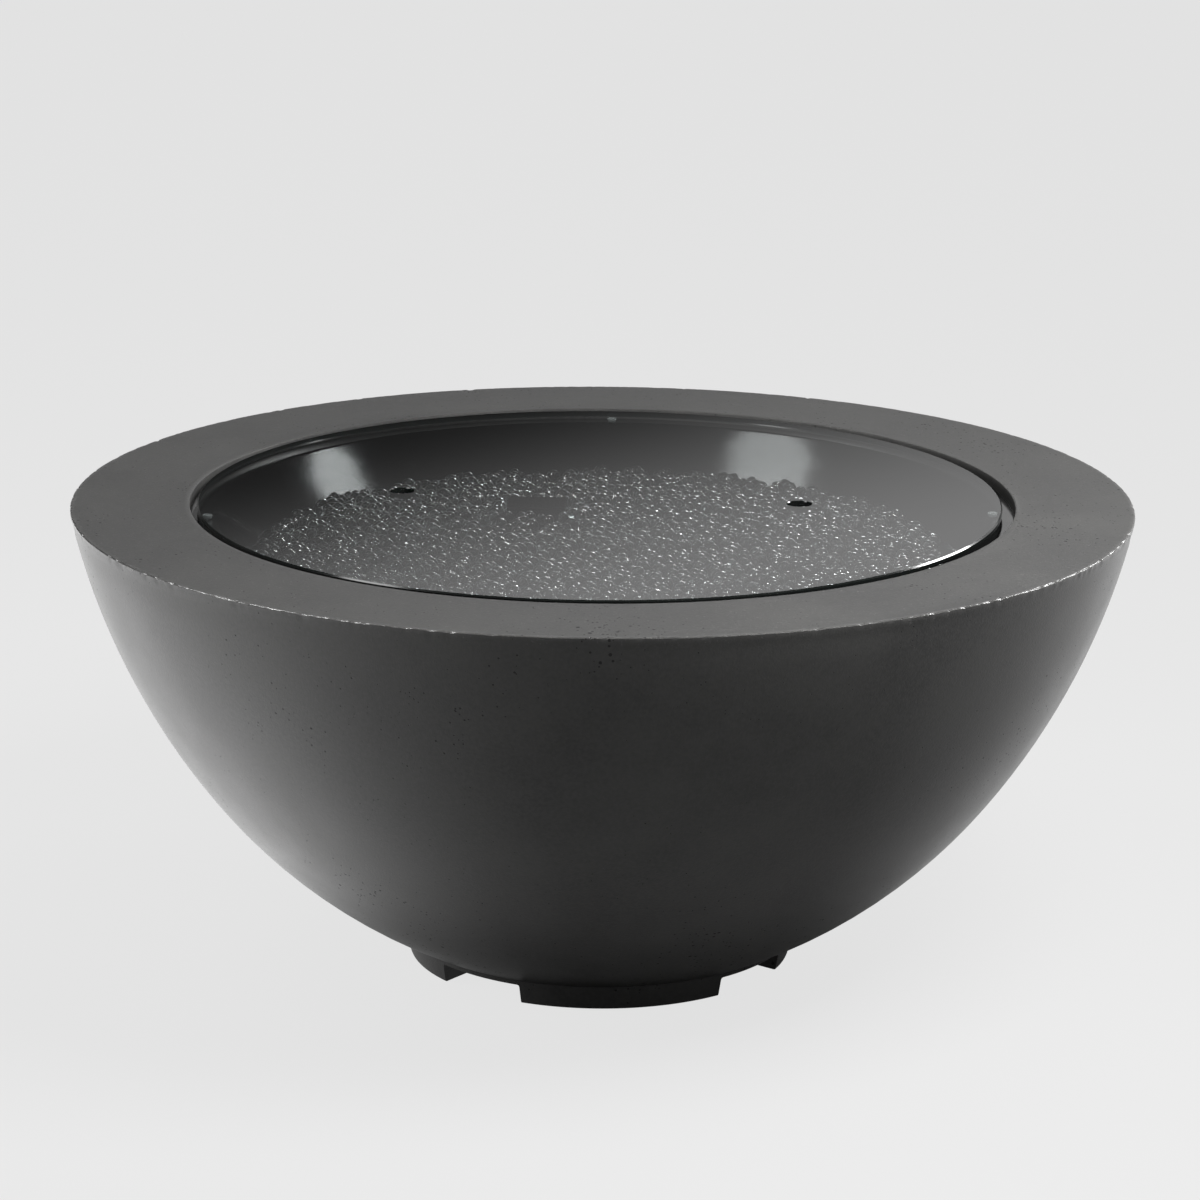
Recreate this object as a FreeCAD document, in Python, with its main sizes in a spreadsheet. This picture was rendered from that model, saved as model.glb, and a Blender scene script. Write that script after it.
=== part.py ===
import FreeCAD, Part
import math
import os
import re

import Sketcher

# A round gas fire bowl of cast concrete with a drop-in burner pan, a bed of fire glass,
# a lift-off glass cover and its gas gear. Millimetres, Z up, floor at Z = 0, back at +Y.
os.makedirs("parts", exist_ok=True)
doc = FreeCAD.newDocument("FireBowl")
V = FreeCAD.Vector

SIZES = [
    # Cast bowl
    ("rim_height", 476),
    ("rim_radius", 533.5),
    ("rim_edge", 3),
    ("opening_radius", 414.5),
    ("opening_edge", 1.5),
    ("ledge_depth", 12),
    ("ledge_width", 18.5),
    ("top_thickness", 32),
    ("shell_wall", 26),
    ("upper_arc", 710.7),
    ("lower_arc", 562.3),
    ("inner_lower_bow", 14),
    ("inner_upper_bow", 12),
    ("knee_inset", 127),
    ("knee_drop", 281.5),
    ("floor_height", 50),
    ("floor_hole_radius", 60),
    ("foot_top_radius", 200),
    ("foot_top_height", 24.7),
    ("foot_base_radius", 196),
    ("foot_inner_radius", 150),
    ("underside_height", 22),
    ("notch_width", 98),
    ("notch_height", 20),
    # Burner pan
    ("sheet_thickness", 1.5),
    ("pan_flange_gap", 2),
    ("pan_bend_gap", 4),
    ("pan_roll", 4),
    ("pan_corner", 13.5),
    ("pan_wall_angle", 49.3),
    ("pan_depth", 68),
    ("weep_radius", 3),
    ("weep_circle", 280),
    ("weep_count", 6),
    # Burner
    ("burner_radius", 198),
    ("burner_tube_radius", 9.5),
    ("spoke_radius", 8),
    ("land_half_angle", 20),
    ("burner_gap", 2),
    ("port_radius", 1.3),
    ("port_count", 24),
    ("hub_radius", 15),
    ("nipple_radius", 10.5),
    ("nipple_length", 34),
    ("thread_play", 0.4),
    ("nut_thickness", 6),
    ("nut_corner_radius", 16),
    # Air mixer below the pan
    ("mixer_radius", 13.5),
    ("mixer_bore_radius", 9),
    ("mixer_length", 60),
    ("mixer_grip", 10),
    ("collar_radius", 17.5),
    ("collar_height", 4),
    ("air_window_width", 11),
    ("air_window_height", 18),
    ("shutter_play", 0.06),
    ("shutter_wall", 2),
    ("shutter_height", 36),
    ("seat_gap", 0.25),
    # Fire glass
    ("bead_depth", 33),
    ("bead_clearance", 0.5),
    # Glass cover
    ("cover_gap", 10),
    ("cover_thickness", 6),
    ("cover_arris", 1),
    ("cover_shift", -3),
    ("finger_hole_radius", 12.5),
    ("finger_hole_circle", 201.5),
    ("finger_hole_turn", -13.5),
    ("bumper_radius", 5),
    ("bumper_height", 4.25),
    ("bumper_inset", 9.5),
    ("bumper_right_turn", -11.5),
    ("bumper_back_turn", 81),
    ("bumper_left_turn", 182),
    ("bumper_front_turn", 264),
    # Igniter shield in the bed
    ("shield_x", -51.7),
    ("shield_inset", 56.4),
    ("shield_turn", -7.2),
    ("shield_width", 60),
    ("shield_depth", 50),
    ("shield_height", 41),
    ("shield_sheet", 1.2),
    ("shield_tab", 14),
    ("electrode_offset", 13),
    ("ceramic_radius", 3.5),
    ("electrode_wire_radius", 1.1),
    ("probe_radius", 3),
    ("lead_hole_play", 0.5),
    # Niche and control panel at the back
    ("panel_inset", 93.5),
    ("panel_drop", 151),
    ("niche_width", 170),
    ("niche_height", 110),
    ("niche_corner", 12),
    ("boss_width", 210),
    ("boss_height", 150),
    ("boss_depth", 35),
    ("window_width", 120),
    ("window_height", 70),
    ("window_corner", 8),
    ("plate_width", 150),
    ("plate_height", 92),
    ("plate_corner", 8),
    ("plate_thickness", 2),
    ("plate_screw_x", 67),
    ("plate_screw_z", 39),
    ("screw_radius", 2.5),
    ("screw_head_radius", 4.6),
    ("screw_head_height", 2.6),
    ("screw_length", 14),
    ("anchor_radius", 4),
    ("anchor_length", 16),
    # Gas valve and knob
    ("knob_x", 30),
    ("valve_width", 40),
    ("valve_height", 34),
    ("valve_depth", 64),
    ("bushing_radius", 8),
    ("bushing_length", 6),
    ("stem_radius", 4),
    ("stem_play", 0.05),
    ("stem_reach", 38),
    ("stem_flat", 3),
    ("plunger_radius", 3),
    ("plunger_length", 16),
    ("knob_radius", 20),
    ("knob_gap", 5),
    ("knob_length", 25),
    ("knob_recess_radius", 14.5),
    ("knob_recess_depth", 5),
    ("port_stub_radius", 8),
    ("port_stub_length", 12),
    ("inlet_port_back", 52),
    ("probe_port_radius", 4.5),
    # Push igniter
    ("igniter_x", -35),
    ("igniter_radius", 12),
    ("igniter_flange_radius", 16),
    ("igniter_flange", 3),
    ("igniter_length", 70),
    ("igniter_wall", 4),
    ("cell_radius", 7.1),
    ("cell_length", 50.5),
    ("cap_radius", 14),
    ("cap_length", 6),
    ("button_radius", 7),
    ("button_play", 0.06),
    ("button_proud", 5),
    ("button_rib_radius", 7.6),
    ("spring_radius", 5.2),
    ("spring_wire_radius", 0.6),
    ("spring_turns", 4),
    # Hoses and leads
    ("hose_radius", 7),
    ("hose_nut_radius", 10),
    ("hose_nut_length", 16),
    ("hose_bend", 60),
    ("lead_radius", 1.6),
    ("lead_bend", 18),
    # Gas inlet under the bowl
    ("inlet_plate_radius", 80),
    ("inlet_plate_thickness", 3),
    ("inlet_screw_circle", 70),
    ("inlet_neck_radius", 10),
    ("flare_radius", 7.94),
    ("flare_length", 16),
    ("inlet_bore_radius", 4),
]

# Places that follow from the sizes above and their named gaps.
PLACES = [
    ("knee_radius", "rim_radius - knee_inset"),
    ("knee_height", "rim_height - knee_drop"),
    ("ledge_inner_radius", "opening_radius - ledge_width"),
    ("pan_flange_radius", "opening_radius - pan_flange_gap"),
    ("pan_bend_radius", "ledge_inner_radius - pan_bend_gap"),
    ("pan_floor_height", "rim_height - ledge_depth - pan_depth"),
    ("mixer_top", "pan_floor_height - nipple_length + mixer_grip"),
    ("mixer_bottom", "mixer_top - mixer_length"),
    ("bead_surface_height", "pan_floor_height + bead_depth"),
    ("cover_radius", "opening_radius - cover_gap"),
    ("bumper_circle", "cover_radius - bumper_inset"),
    ("shield_y", "burner_radius - shield_inset"),
    ("shield_top_height", "pan_floor_height + shield_height"),
    ("panel_y", "rim_radius - panel_inset"),
    ("panel_z", "rim_height - panel_drop"),
    ("stem_inner_y", "panel_y - stem_reach"),
    ("knob_back_y", "panel_y + plate_thickness + knob_gap"),
]

sheet = doc.addObject("Spreadsheet::Sheet", "Sizes")
for row, (name, number) in enumerate(SIZES, 1):
    sheet.set("A%d" % row, name)
    sheet.set("B%d" % row, str(number))
    sheet.setAlias("B%d" % row, name)
doc.recompute()
for row, (name, formula) in enumerate(PLACES, len(SIZES) + 1):
    sheet.set("A%d" % row, name)
    sheet.set("B%d" % row, "=" + formula)
    sheet.setAlias("B%d" % row, name)
    doc.recompute()

NODES = []


def on_sheet(text):
    """Expression with each size name pointed at the sheet."""
    return re.sub(r"(?<![\w.])([a-z][a-z_]*)(?![\w(])", r"Sizes.\1", str(text))


def size(text):
    """Number that an expression of size names comes to."""
    return float(sheet.evalExpression(on_sheet(text)))


def bind(obj, prop, text):
    obj.setExpression(prop, on_sheet(text))


def place(obj, at=("0", "0", "0"), axis=(0, 0, 1), angle="0"):
    """Put a piece at named sizes, turned about one axis."""
    obj.Placement = FreeCAD.Placement(V(0, 0, 0), FreeCAD.Rotation(V(*axis), 1))
    for name, text in zip("xyz", at):
        bind(obj, ".Placement.Base." + name, text)
    bind(obj, ".Placement.Rotation.Angle", angle)
    if size(angle) == 0:
        obj.Placement = FreeCAD.Placement(V(*[size(text) for text in at]), FreeCAD.Rotation())
        obj.setExpression(".Placement.Rotation.Angle", None)
    return obj


def outward(obj, x, y, z):
    """Piece drawn along its own Z laid along +Y, out of the control panel."""
    obj.Placement = FreeCAD.Placement(V(0, 0, 0), FreeCAD.Rotation(V(1, 0, 0), -90))
    for name, text in zip("xyz", (x, y, z)):
        bind(obj, ".Placement.Base." + name, text)
    return obj


def node(obj, label):
    """Keep a finished piece under its node name."""
    obj.Label = label
    NODES.append(obj)
    return obj


def new_body(label):
    body = doc.addObject("PartDesign::Body", label)
    body.Label = label
    return body


def plane(body, role):
    return [part for part in body.Origin.OriginFeatures if part.Role == role][0]


def sketch_on(body, name, role):
    sketch = body.newObject("Sketcher::SketchObject", name)
    sketch.AttachmentSupport = [(plane(body, role), "")]
    sketch.MapMode = "FlatFace"
    return sketch


def hold(sketch, kind, args, text):
    """One driving constraint bound to the sheet."""
    index = sketch.addConstraint(Sketcher.Constraint(kind, *args, size(text)))
    bind(sketch, "Constraints[%d]" % index, text)


def draw(sketch, corners, arcs=None):
    """Closed outline through named corners; arcs[i] rounds the side that leaves corner i."""
    arcs = arcs or {}
    first = sketch.GeometryCount
    points = [V(size(a), size(b), 0) for a, b in corners]
    starts = []
    for i, start in enumerate(points):
        end = points[(i + 1) % len(points)]
        if i not in arcs:
            sketch.addGeometry(Part.LineSegment(start, end), False)
            starts.append((1, 2))
            continue
        radius = size(arcs[i][0])
        turn = arcs[i][1]
        way = end - start
        left = V(-way.y, way.x, 0).normalize()
        rise = math.sqrt(radius ** 2 - way.Length ** 2 / 4)
        bulge = (start + end) / 2 - left * (turn * (radius - rise))
        sketch.addGeometry(Part.Arc(start, bulge, end), False)
        starts.append((1, 2) if turn > 0 else (2, 1))
    for i, (begin, finish) in enumerate(starts):
        following = (i + 1) % len(points)
        sketch.addConstraint(Sketcher.Constraint(
            "Coincident", first + i, finish, first + following, starts[following][0]))
        hold(sketch, "DistanceX", (-1, 1, first + i, begin), corners[i][0])
        hold(sketch, "DistanceY", (-1, 1, first + i, begin), corners[i][1])
        if i in arcs:
            hold(sketch, "Radius", (first + i,), arcs[i][0])
    return sketch


def circle(sketch, x, y, radius):
    """Circle held at named sizes."""
    index = sketch.GeometryCount
    sketch.addGeometry(Part.Circle(V(size(x), size(y), 0), V(0, 0, 1), size(radius)), False)
    hold(sketch, "Radius", (index,), radius)
    hold(sketch, "DistanceX", (-1, 1, index, 3), x)
    hold(sketch, "DistanceY", (-1, 1, index, 3), y)


def revolve(label, corners, arcs=None):
    """Body turned about its own Z from a half outline."""
    body = new_body(label)
    sketch = draw(sketch_on(body, label + "_outline", "XZ_Plane"), corners, arcs)
    turned = body.newObject("PartDesign::Revolution", label + "_turned")
    turned.Profile = sketch
    turned.ReferenceAxis = (sketch, ["V_Axis"])
    turned.Angle = 360
    body.Tip = turned
    doc.recompute()
    return body


def raise_from(body, sketch, name, length):
    pad = body.newObject("PartDesign::Pad", name)
    pad.Profile = sketch
    bind(pad, "Length", length)
    body.Tip = pad
    doc.recompute()
    return pad


def cut_through(body, sketch, name):
    """Pocket through the whole body on both sides of its sketch; stops if nothing is cut."""
    before = body.Shape.Volume
    pocket = body.newObject("PartDesign::Pocket", name)
    pocket.Profile = sketch
    pocket.SideType = "Symmetric"
    pocket.Type = "ThroughAll"
    body.Tip = pocket
    doc.recompute()
    if body.Shape.Volume > before - 1e-6:
        raise RuntimeError(name + " cuts nothing")
    return pocket


def around(body, feature, name, count):
    """Copies of one cut or pad round the body's own Z axis."""
    pattern = body.newObject("PartDesign::PolarPattern", name)
    pattern.Originals = [feature]
    pattern.Axis = (plane(body, "Z_Axis"), [""])
    pattern.Angle = 360
    bind(pattern, "Occurrences", count)
    body.Tip = pattern
    doc.recompute()
    return pattern


def rounded(width, height, corner):
    """Corners and arcs of a centred rectangle with round corners."""
    w, h = "(%s) / 2" % width, "(%s) / 2" % height
    steps = [
        ("-%s + %s" % (w, corner), "-" + h), ("%s - %s" % (w, corner), "-" + h),
        (w, "-%s + %s" % (h, corner)), (w, "%s - %s" % (h, corner)),
        ("%s - %s" % (w, corner), h), ("-%s + %s" % (w, corner), h),
        ("-" + w, "%s - %s" % (h, corner)), ("-" + w, "-%s + %s" % (h, corner)),
    ]
    return steps, {i: (corner, 1) for i in (1, 3, 5, 7)}


def block(label, width, height, corner, depth, holes=()):
    """Round-cornered plate or block with round holes, standing on its own XY plane."""
    body = new_body(label)
    sketch = sketch_on(body, label + "_outline", "XY_Plane")
    draw(sketch, *rounded(width, height, corner))
    for x, y, radius in holes:
        circle(sketch, x, y, radius)
    raise_from(body, sketch, label + "_solid", depth)
    return body


def primitive(kind, label, at=("0", "0", "0"), axis=(0, 0, 1), angle="0", **sizes):
    """Cylinder, box, prism, cone or torus with every size on the sheet."""
    obj = doc.addObject("Part::" + kind, label)
    for prop, text in sizes.items():
        bind(obj, prop, text)
    place(obj, at, axis, angle)
    return obj


def rod(label, x, y, z, radius, length):
    """Upright cylinder."""
    return primitive("Cylinder", label, (x, y, z), Radius=radius, Height=length)


def rod_out(label, x, y, z, radius, length):
    """Cylinder along +Y."""
    obj = doc.addObject("Part::Cylinder", label)
    bind(obj, "Radius", radius)
    bind(obj, "Height", length)
    return outward(obj, x, y, z)


def hexagon(label, x, y, z, corner_radius, length):
    obj = doc.addObject("Part::Prism", label)
    obj.Polygon = 6
    bind(obj, "Circumradius", corner_radius)
    bind(obj, "Height", length)
    return place(obj, (x, y, z))


def joined(label, pieces):
    obj = doc.addObject("Part::MultiFuse", label)
    obj.Shapes = pieces
    obj.Refine = False
    return obj


def less(label, base, tools):
    """Base piece with one or more tools taken away; stops if nothing is cut."""
    obj = doc.addObject("Part::Cut", label)
    obj.Base = base
    obj.Tool = tools[0] if len(tools) == 1 else joined(label + "_tools", tools)
    doc.recompute()
    if obj.Shape.Volume > base.Shape.Volume - 1e-6:
        raise RuntimeError(label + " cuts nothing")
    return obj


def ring_spot(radius, angle):
    """Expressions for a point on a circle about the Z axis."""
    return ("(%s) * cos((%s) * 1deg)" % (radius, angle), "(%s) * sin((%s) * 1deg)" % (radius, angle))


SEAT = "rim_height - ledge_depth"
FLANGE_TOP = SEAT + " + sheet_thickness"
FLOOR_TOP = "pan_floor_height"
FLOOR_BELOW = "pan_floor_height - sheet_thickness"
BURNER_Z = "pan_floor_height + burner_gap + burner_tube_radius"
PLATE_FRONT = "panel_y + plate_thickness"
SCREW_SPOTS = [(sx, sz) for sx in ("-", "") for sz in ("-", "")]


def facets(start, end, bow, count):
    """Corners between two corners of an outline, bowed out of the straight by a named height."""
    between = []
    for i in range(1, count):
        share = i / count
        out = 4 * share * (1 - share)
        step = []
        for k, sign in ((0, 1), (1, -1)):
            way = "((%s) - (%s))" % (end[1 - k], start[1 - k])
            span = "sqrt(((%s) - (%s)) ^ 2 + ((%s) - (%s)) ^ 2)" % (end[0], start[0], end[1],
                                                                   start[1])
            step.append("(%s) * %s + (%s) * %s + %s * %s * %s / %s" % (
                start[k], 1 - share, end[k], share, sign * out, bow, way, span))
        between.append(tuple(step))
    return between


def fire_bowl():
    """Cast bowl: turned outside less the cavity, the foot notches, the niche and its holes.
    The outer wall is two arcs that meet at the knee, and the core inside has flat bands."""
    outside = revolve("bowl_outside", [
        ("0", "underside_height"),
        ("foot_inner_radius", "underside_height"),
        ("foot_inner_radius", "0"),
        ("foot_base_radius - 2", "0"),
        ("foot_base_radius", "2"),
        ("foot_top_radius", "foot_top_height"),
        ("knee_radius", "knee_height"),
        ("rim_radius", "rim_height - rim_edge"),
        ("rim_radius - rim_edge", "rim_height"),
        ("opening_radius + opening_edge", "rim_height"),
        ("opening_radius", "rim_height - opening_edge"),
        ("opening_radius", SEAT),
        ("0", SEAT),
    ], {5: ("lower_arc", 1), 6: ("upper_arc", 1)})
    start, corner = "foot_top_radius - shell_wall * 0.214", "knee_radius - shell_wall * 0.8"
    end, corner_z = "rim_radius - shell_wall * 1.311", "knee_height + shell_wall * 0.6"
    top = "rim_height - top_thickness"
    inner = [("0", "floor_height"), (start, "floor_height")]
    inner += facets((start, "floor_height"), (corner, corner_z), "inner_lower_bow", 3)
    inner += [(corner, corner_z)]
    inner += facets((corner, corner_z), (end, top), "inner_upper_bow", 2)
    inner += [(end, top), ("ledge_inner_radius", top), ("ledge_inner_radius", "rim_height"),
              ("0", "rim_height")]
    inside = revolve("bowl_inside", inner)
    boss = primitive(
        "Box", "panel_boss",
        ("-boss_width / 2", "panel_y - boss_depth", "panel_z - boss_height / 2"),
        Length="boss_width", Width="boss_depth + 120", Height="boss_height")
    hollow = less("bowl_hollow", inside, [boss])
    niche = outward(block("niche", "niche_width", "niche_height", "niche_corner", "120"),
                    "0", "panel_y", "panel_z")
    window = outward(block("window", "window_width", "window_height", "window_corner",
                           "boss_depth + 10"), "0", "panel_y - boss_depth - 5", "panel_z")
    tools = [hollow, niche, window]
    for turn in ("45", "135"):
        slot = block("foot_slot_" + turn, "2 * foot_top_radius + 40", "notch_width", "2",
                     "notch_height + 5")
        tools.append(place(slot, ("0", "0", "-5"), angle=turn))
    tools.append(rod("floor_hole", "0", "0", "0", "floor_hole_radius", "floor_height + 5"))
    for i, (sx, sz) in enumerate(SCREW_SPOTS):
        tools.append(rod_out("panel_anchor_hole_%d" % i, sx + "plate_screw_x",
                             "panel_y - anchor_length",
                             "panel_z + (%s1) * plate_screw_z" % sz, "anchor_radius",
                             "anchor_length + 1"))
    for i in range(3):
        x, y = ring_spot("inlet_screw_circle", 90 + 120 * i)
        tools.append(rod("inlet_anchor_hole_%d" % i, x, y, "floor_height - anchor_length",
                         "anchor_radius", "anchor_length + 1"))
    node(less("fire_bowl", outside, tools), "fire_bowl")


def burner_pan():
    """Drop-in pan of one sheet: flange on the ledge, rolled bend, leaning wall, flat floor."""
    roll = "tan(pan_wall_angle / 2 * 1deg)"
    lean_r = "cos(pan_wall_angle * 1deg)"
    lean_z = "sin(pan_wall_angle * 1deg)"
    under = "pan_bend_radius + sheet_thickness * " + roll
    drop = "(%s - pan_floor_height) / tan(pan_wall_angle * 1deg)" % FLANGE_TOP
    outer_roll = "(pan_roll - sheet_thickness)"
    outer_corner = "(pan_corner + sheet_thickness)"
    top_back = "pan_bend_radius - " + drop
    low_back = under + " - " + drop
    body = revolve("burner_pan_sheet", [
        ("pan_flange_radius", FLANGE_TOP),
        ("pan_bend_radius + pan_roll * " + roll, FLANGE_TOP),
        ("pan_bend_radius - pan_roll * %s * %s" % (roll, lean_r),
         "%s - pan_roll * %s * %s" % (FLANGE_TOP, roll, lean_z)),
        ("%s + pan_corner * %s * %s" % (top_back, roll, lean_r),
         "pan_floor_height + pan_corner * %s * %s" % (roll, lean_z)),
        ("%s - pan_corner * %s" % (top_back, roll), FLOOR_TOP),
        ("nipple_radius + thread_play", FLOOR_TOP),
        ("nipple_radius + thread_play", FLOOR_BELOW),
        ("%s - %s * %s" % (low_back, outer_corner, roll), FLOOR_BELOW),
        ("%s + %s * %s * %s" % (low_back, outer_corner, roll, lean_r),
         "%s + %s * %s * %s" % (FLOOR_BELOW, outer_corner, roll, lean_z)),
        ("%s - %s * %s * %s" % (under, outer_roll, roll, lean_r),
         "%s - %s * %s * %s" % (SEAT, outer_roll, roll, lean_z)),
        ("%s + %s * %s" % (under, outer_roll, roll), SEAT),
        ("pan_flange_radius", SEAT),
    ], {1: ("pan_roll", 1), 3: ("pan_corner", -1), 7: (outer_corner, 1), 9: (outer_roll, -1)})
    weeps = sketch_on(body, "weep_hole", "XY_Plane")
    circle(weeps, "weep_circle", "0", "weep_radius")
    around(body, cut_through(body, weeps, "weep_cut"), "weep_holes", "weep_count")
    tools = []
    for i, side in enumerate((-1, 1)):
        hole = rod("lead_hole_%d" % i, *shield_spot("%d * electrode_offset" % side, "0"),
                   FLOOR_BELOW + " - 5", "ceramic_radius + lead_hole_play", "15")
        screw = rod("tab_hole_%d" % i, *shield_spot("%d * (shield_width + shield_tab) / 2" % side, "0"),
                    FLOOR_BELOW + " - 5", "screw_radius + thread_play", "15")
        tools += [hole, screw]
    node(less("burner_pan", body, tools), "burner_pan")


def shield_spot(across, along):
    """Point in the igniter shield's own directions."""
    turn = "(shield_turn * 1deg)"
    return ("shield_x + (%s) * cos%s - (%s) * sin%s" % (across, turn, along, turn),
            "shield_y + (%s) * sin%s + (%s) * cos%s" % (across, turn, along, turn))


def burner():
    """Round tube ring with a narrow land on top for its ports, cross spokes, hub and nipple."""
    land = "(burner_tube_radius * cos(land_half_angle * 1deg))"
    section = []
    for i in range(9):
        angle = "(90 + land_half_angle + %d * (360 - 2 * land_half_angle) / 8) * 1deg" % i
        section.append(("burner_radius + burner_tube_radius * cos(%s)" % angle,
                        BURNER_Z + " + burner_tube_radius * sin(%s)" % angle))
    ring = revolve("tube_ring", section)
    reach = "burner_radius"
    spokes = [primitive("Cylinder", "spoke_y", ("0", reach, BURNER_Z), (1, 0, 0), "90",
                        Radius="spoke_radius", Height="2 * burner_radius"),
              primitive("Cylinder", "spoke_x", ("-" + reach, "0", BURNER_Z), (0, 1, 0), "90",
                        Radius="spoke_radius", Height="2 * burner_radius")]
    hub = rod("hub", "0", "0", FLOOR_TOP, "hub_radius", "burner_gap + 2 * burner_tube_radius")
    nipple = rod("nipple", "0", "0", FLOOR_TOP + " - nipple_length", "nipple_radius",
                 "nipple_length + 1")
    tools = [rod("burner_bore", "0", "0", FLOOR_TOP + " - nipple_length - 1",
                 "nipple_radius - 2.5", "nipple_length + burner_gap + burner_tube_radius + 3")]
    count = int(size("port_count"))
    for i in range(count):
        x, y = ring_spot("burner_radius", (i + 0.5) * 360 / count)
        tools.append(rod("port_%d" % i, x, y, BURNER_Z + " + %s - 3" % land, "port_radius", "6"))
    node(less("burner_ring", joined("burner_solid", [ring] + spokes + [hub, nipple]), tools),
         "burner_ring")
    nut = hexagon("nut_blank", "0", "0", FLOOR_BELOW + " - nut_thickness", "nut_corner_radius",
                  "nut_thickness")
    hole = rod("nut_bore", "0", "0", FLOOR_BELOW + " - nut_thickness - 1", "nipple_radius",
               "nut_thickness + 2")
    node(less("burner_nut", nut, [hole]), "burner_nut")


def air_windows(name, low, reach):
    """Two opposite windows across X."""
    return primitive("Box", name, ("-(%s)" % reach, "-air_window_width / 2", low),
                     Length="2 * (%s)" % reach, Width="air_window_width",
                     Height="air_window_height")


def air_mixer():
    body = revolve("mixer_tube", [
        ("bushing_radius", "mixer_bottom"),
        ("collar_radius", "mixer_bottom"),
        ("collar_radius", "mixer_bottom + collar_height"),
        ("mixer_radius", "mixer_bottom + collar_height"),
        ("mixer_radius", "mixer_top"),
        ("nipple_radius", "mixer_top"),
        ("nipple_radius", "pan_floor_height - nipple_length"),
        ("mixer_bore_radius", "pan_floor_height - nipple_length"),
        ("mixer_bore_radius", "mixer_bottom + 8"),
        ("bushing_radius", "mixer_bottom + 8"),
    ])
    low = "mixer_bottom + 14"
    node(less("air_mixer", body, [air_windows("mixer_windows", low, "mixer_radius + 2")]),
         "air_mixer")
    sleeve = revolve("shutter_sleeve", [
        ("mixer_radius + shutter_play", "mixer_bottom + collar_height + seat_gap"),
        ("mixer_radius + shutter_wall", "mixer_bottom + collar_height + seat_gap"),
        ("mixer_radius + shutter_wall", "mixer_bottom + collar_height + shutter_height"),
        ("mixer_radius + shutter_play", "mixer_bottom + collar_height + shutter_height"),
    ])
    cut = less("shutter_open", sleeve,
               [air_windows("shutter_windows", low, "mixer_radius + shutter_wall + 2")])
    thumb = rod_out("shutter_thumb", "0", "mixer_radius + shutter_wall - 0.5",
                    "mixer_bottom + shutter_height", "3", "9")
    node(joined("air_shutter", [cut, thumb]), "air_shutter")


def gas_orifice():
    """Brass fitting with the gas jet inside the mixer and a stub for the hose below."""
    spigot = revolve("orifice_spigot", [
        ("0", "mixer_bottom - 16"),
        ("port_stub_radius", "mixer_bottom - 16"),
        ("port_stub_radius", "mixer_bottom + 6"),
        ("4.5", "mixer_bottom + 6"),
        ("4.5", "mixer_bottom + 16"),
        ("2.5", "mixer_bottom + 19"),
        ("0", "mixer_bottom + 19"),
    ])
    nut = hexagon("orifice_nut", "0", "0", "mixer_bottom - 10", "12", "10")
    bore = rod("orifice_bore", "0", "0", "mixer_bottom - 17", "3.2", "30")
    jet = rod("orifice_jet", "0", "0", "mixer_bottom + 10", "0.9", "12")
    node(less("gas_orifice", joined("orifice_solid", [spigot, nut]), [bore, jet]), "gas_orifice")


def fire_glass():
    """Bed of fire glass as one settled solid, clear of the burner and the igniter shield."""
    lean = "tan(pan_wall_angle * 1deg)"
    wall = "pan_bend_radius - (%s - (%s)) / %s - bead_clearance * 1.6"
    low = "pan_floor_height + 7"
    body = revolve("bed_solid", [
        ("0", FLOOR_TOP + " + 0.2"),
        (wall % (FLANGE_TOP, "pan_floor_height", lean) + " - pan_corner * 0.55",
         FLOOR_TOP + " + 0.2"),
        (wall % (FLANGE_TOP, low, lean), low),
        (wall % (FLANGE_TOP, "bead_surface_height - 1", lean), "bead_surface_height - 1"),
        (wall % (FLANGE_TOP, "bead_surface_height", lean) + " - 3", "bead_surface_height"),
        ("0", "bead_surface_height"),
    ])
    room = "bead_clearance"
    side = "(burner_tube_radius + %s)" % room
    ring = revolve("ring_room", [
        ("burner_radius - " + side, FLOOR_TOP),
        ("burner_radius + " + side, FLOOR_TOP),
        ("burner_radius + " + side, BURNER_Z + " + %s / 2" % side),
        ("burner_radius + %s / 2" % side, BURNER_Z + " + " + side),
        ("burner_radius - %s / 2" % side, BURNER_Z + " + " + side),
        ("burner_radius - " + side, BURNER_Z + " + %s / 2" % side),
    ])
    tools = [ring]
    for name, w, h in (("x", "2 * burner_radius", "2 * spoke_radius + 2 * " + room),
                       ("y", "2 * spoke_radius + 2 * " + room, "2 * burner_radius")):
        tools.append(primitive("Box", "spoke_room_" + name,
                               ("-(%s) / 2" % w, "-(%s) / 2" % h, FLOOR_TOP), Length=w, Width=h,
                               Height="burner_gap + burner_tube_radius + spoke_radius + " + room))
    tools.append(rod("hub_room", "0", "0", FLOOR_TOP, "hub_radius + " + room,
                     "burner_gap + 2 * burner_tube_radius + " + room))
    inner = block("shield_room", "shield_width + 2 * " + room, "shield_depth + 2 * " + room, "1",
                  "60")
    tools.append(place(inner, ("shield_x", "shield_y", FLOOR_TOP), angle="shield_turn"))
    tabs = block("tab_room", "shield_width + 2 * shield_tab + 2 * " + room, "18 + 2 * " + room, "1",
                 "shield_sheet + screw_head_height + " + room)
    tools.append(place(tabs, ("shield_x", "shield_y", FLOOR_TOP), angle="shield_turn"))
    node(less("fire_glass", body, tools), "fire_glass")


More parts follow.
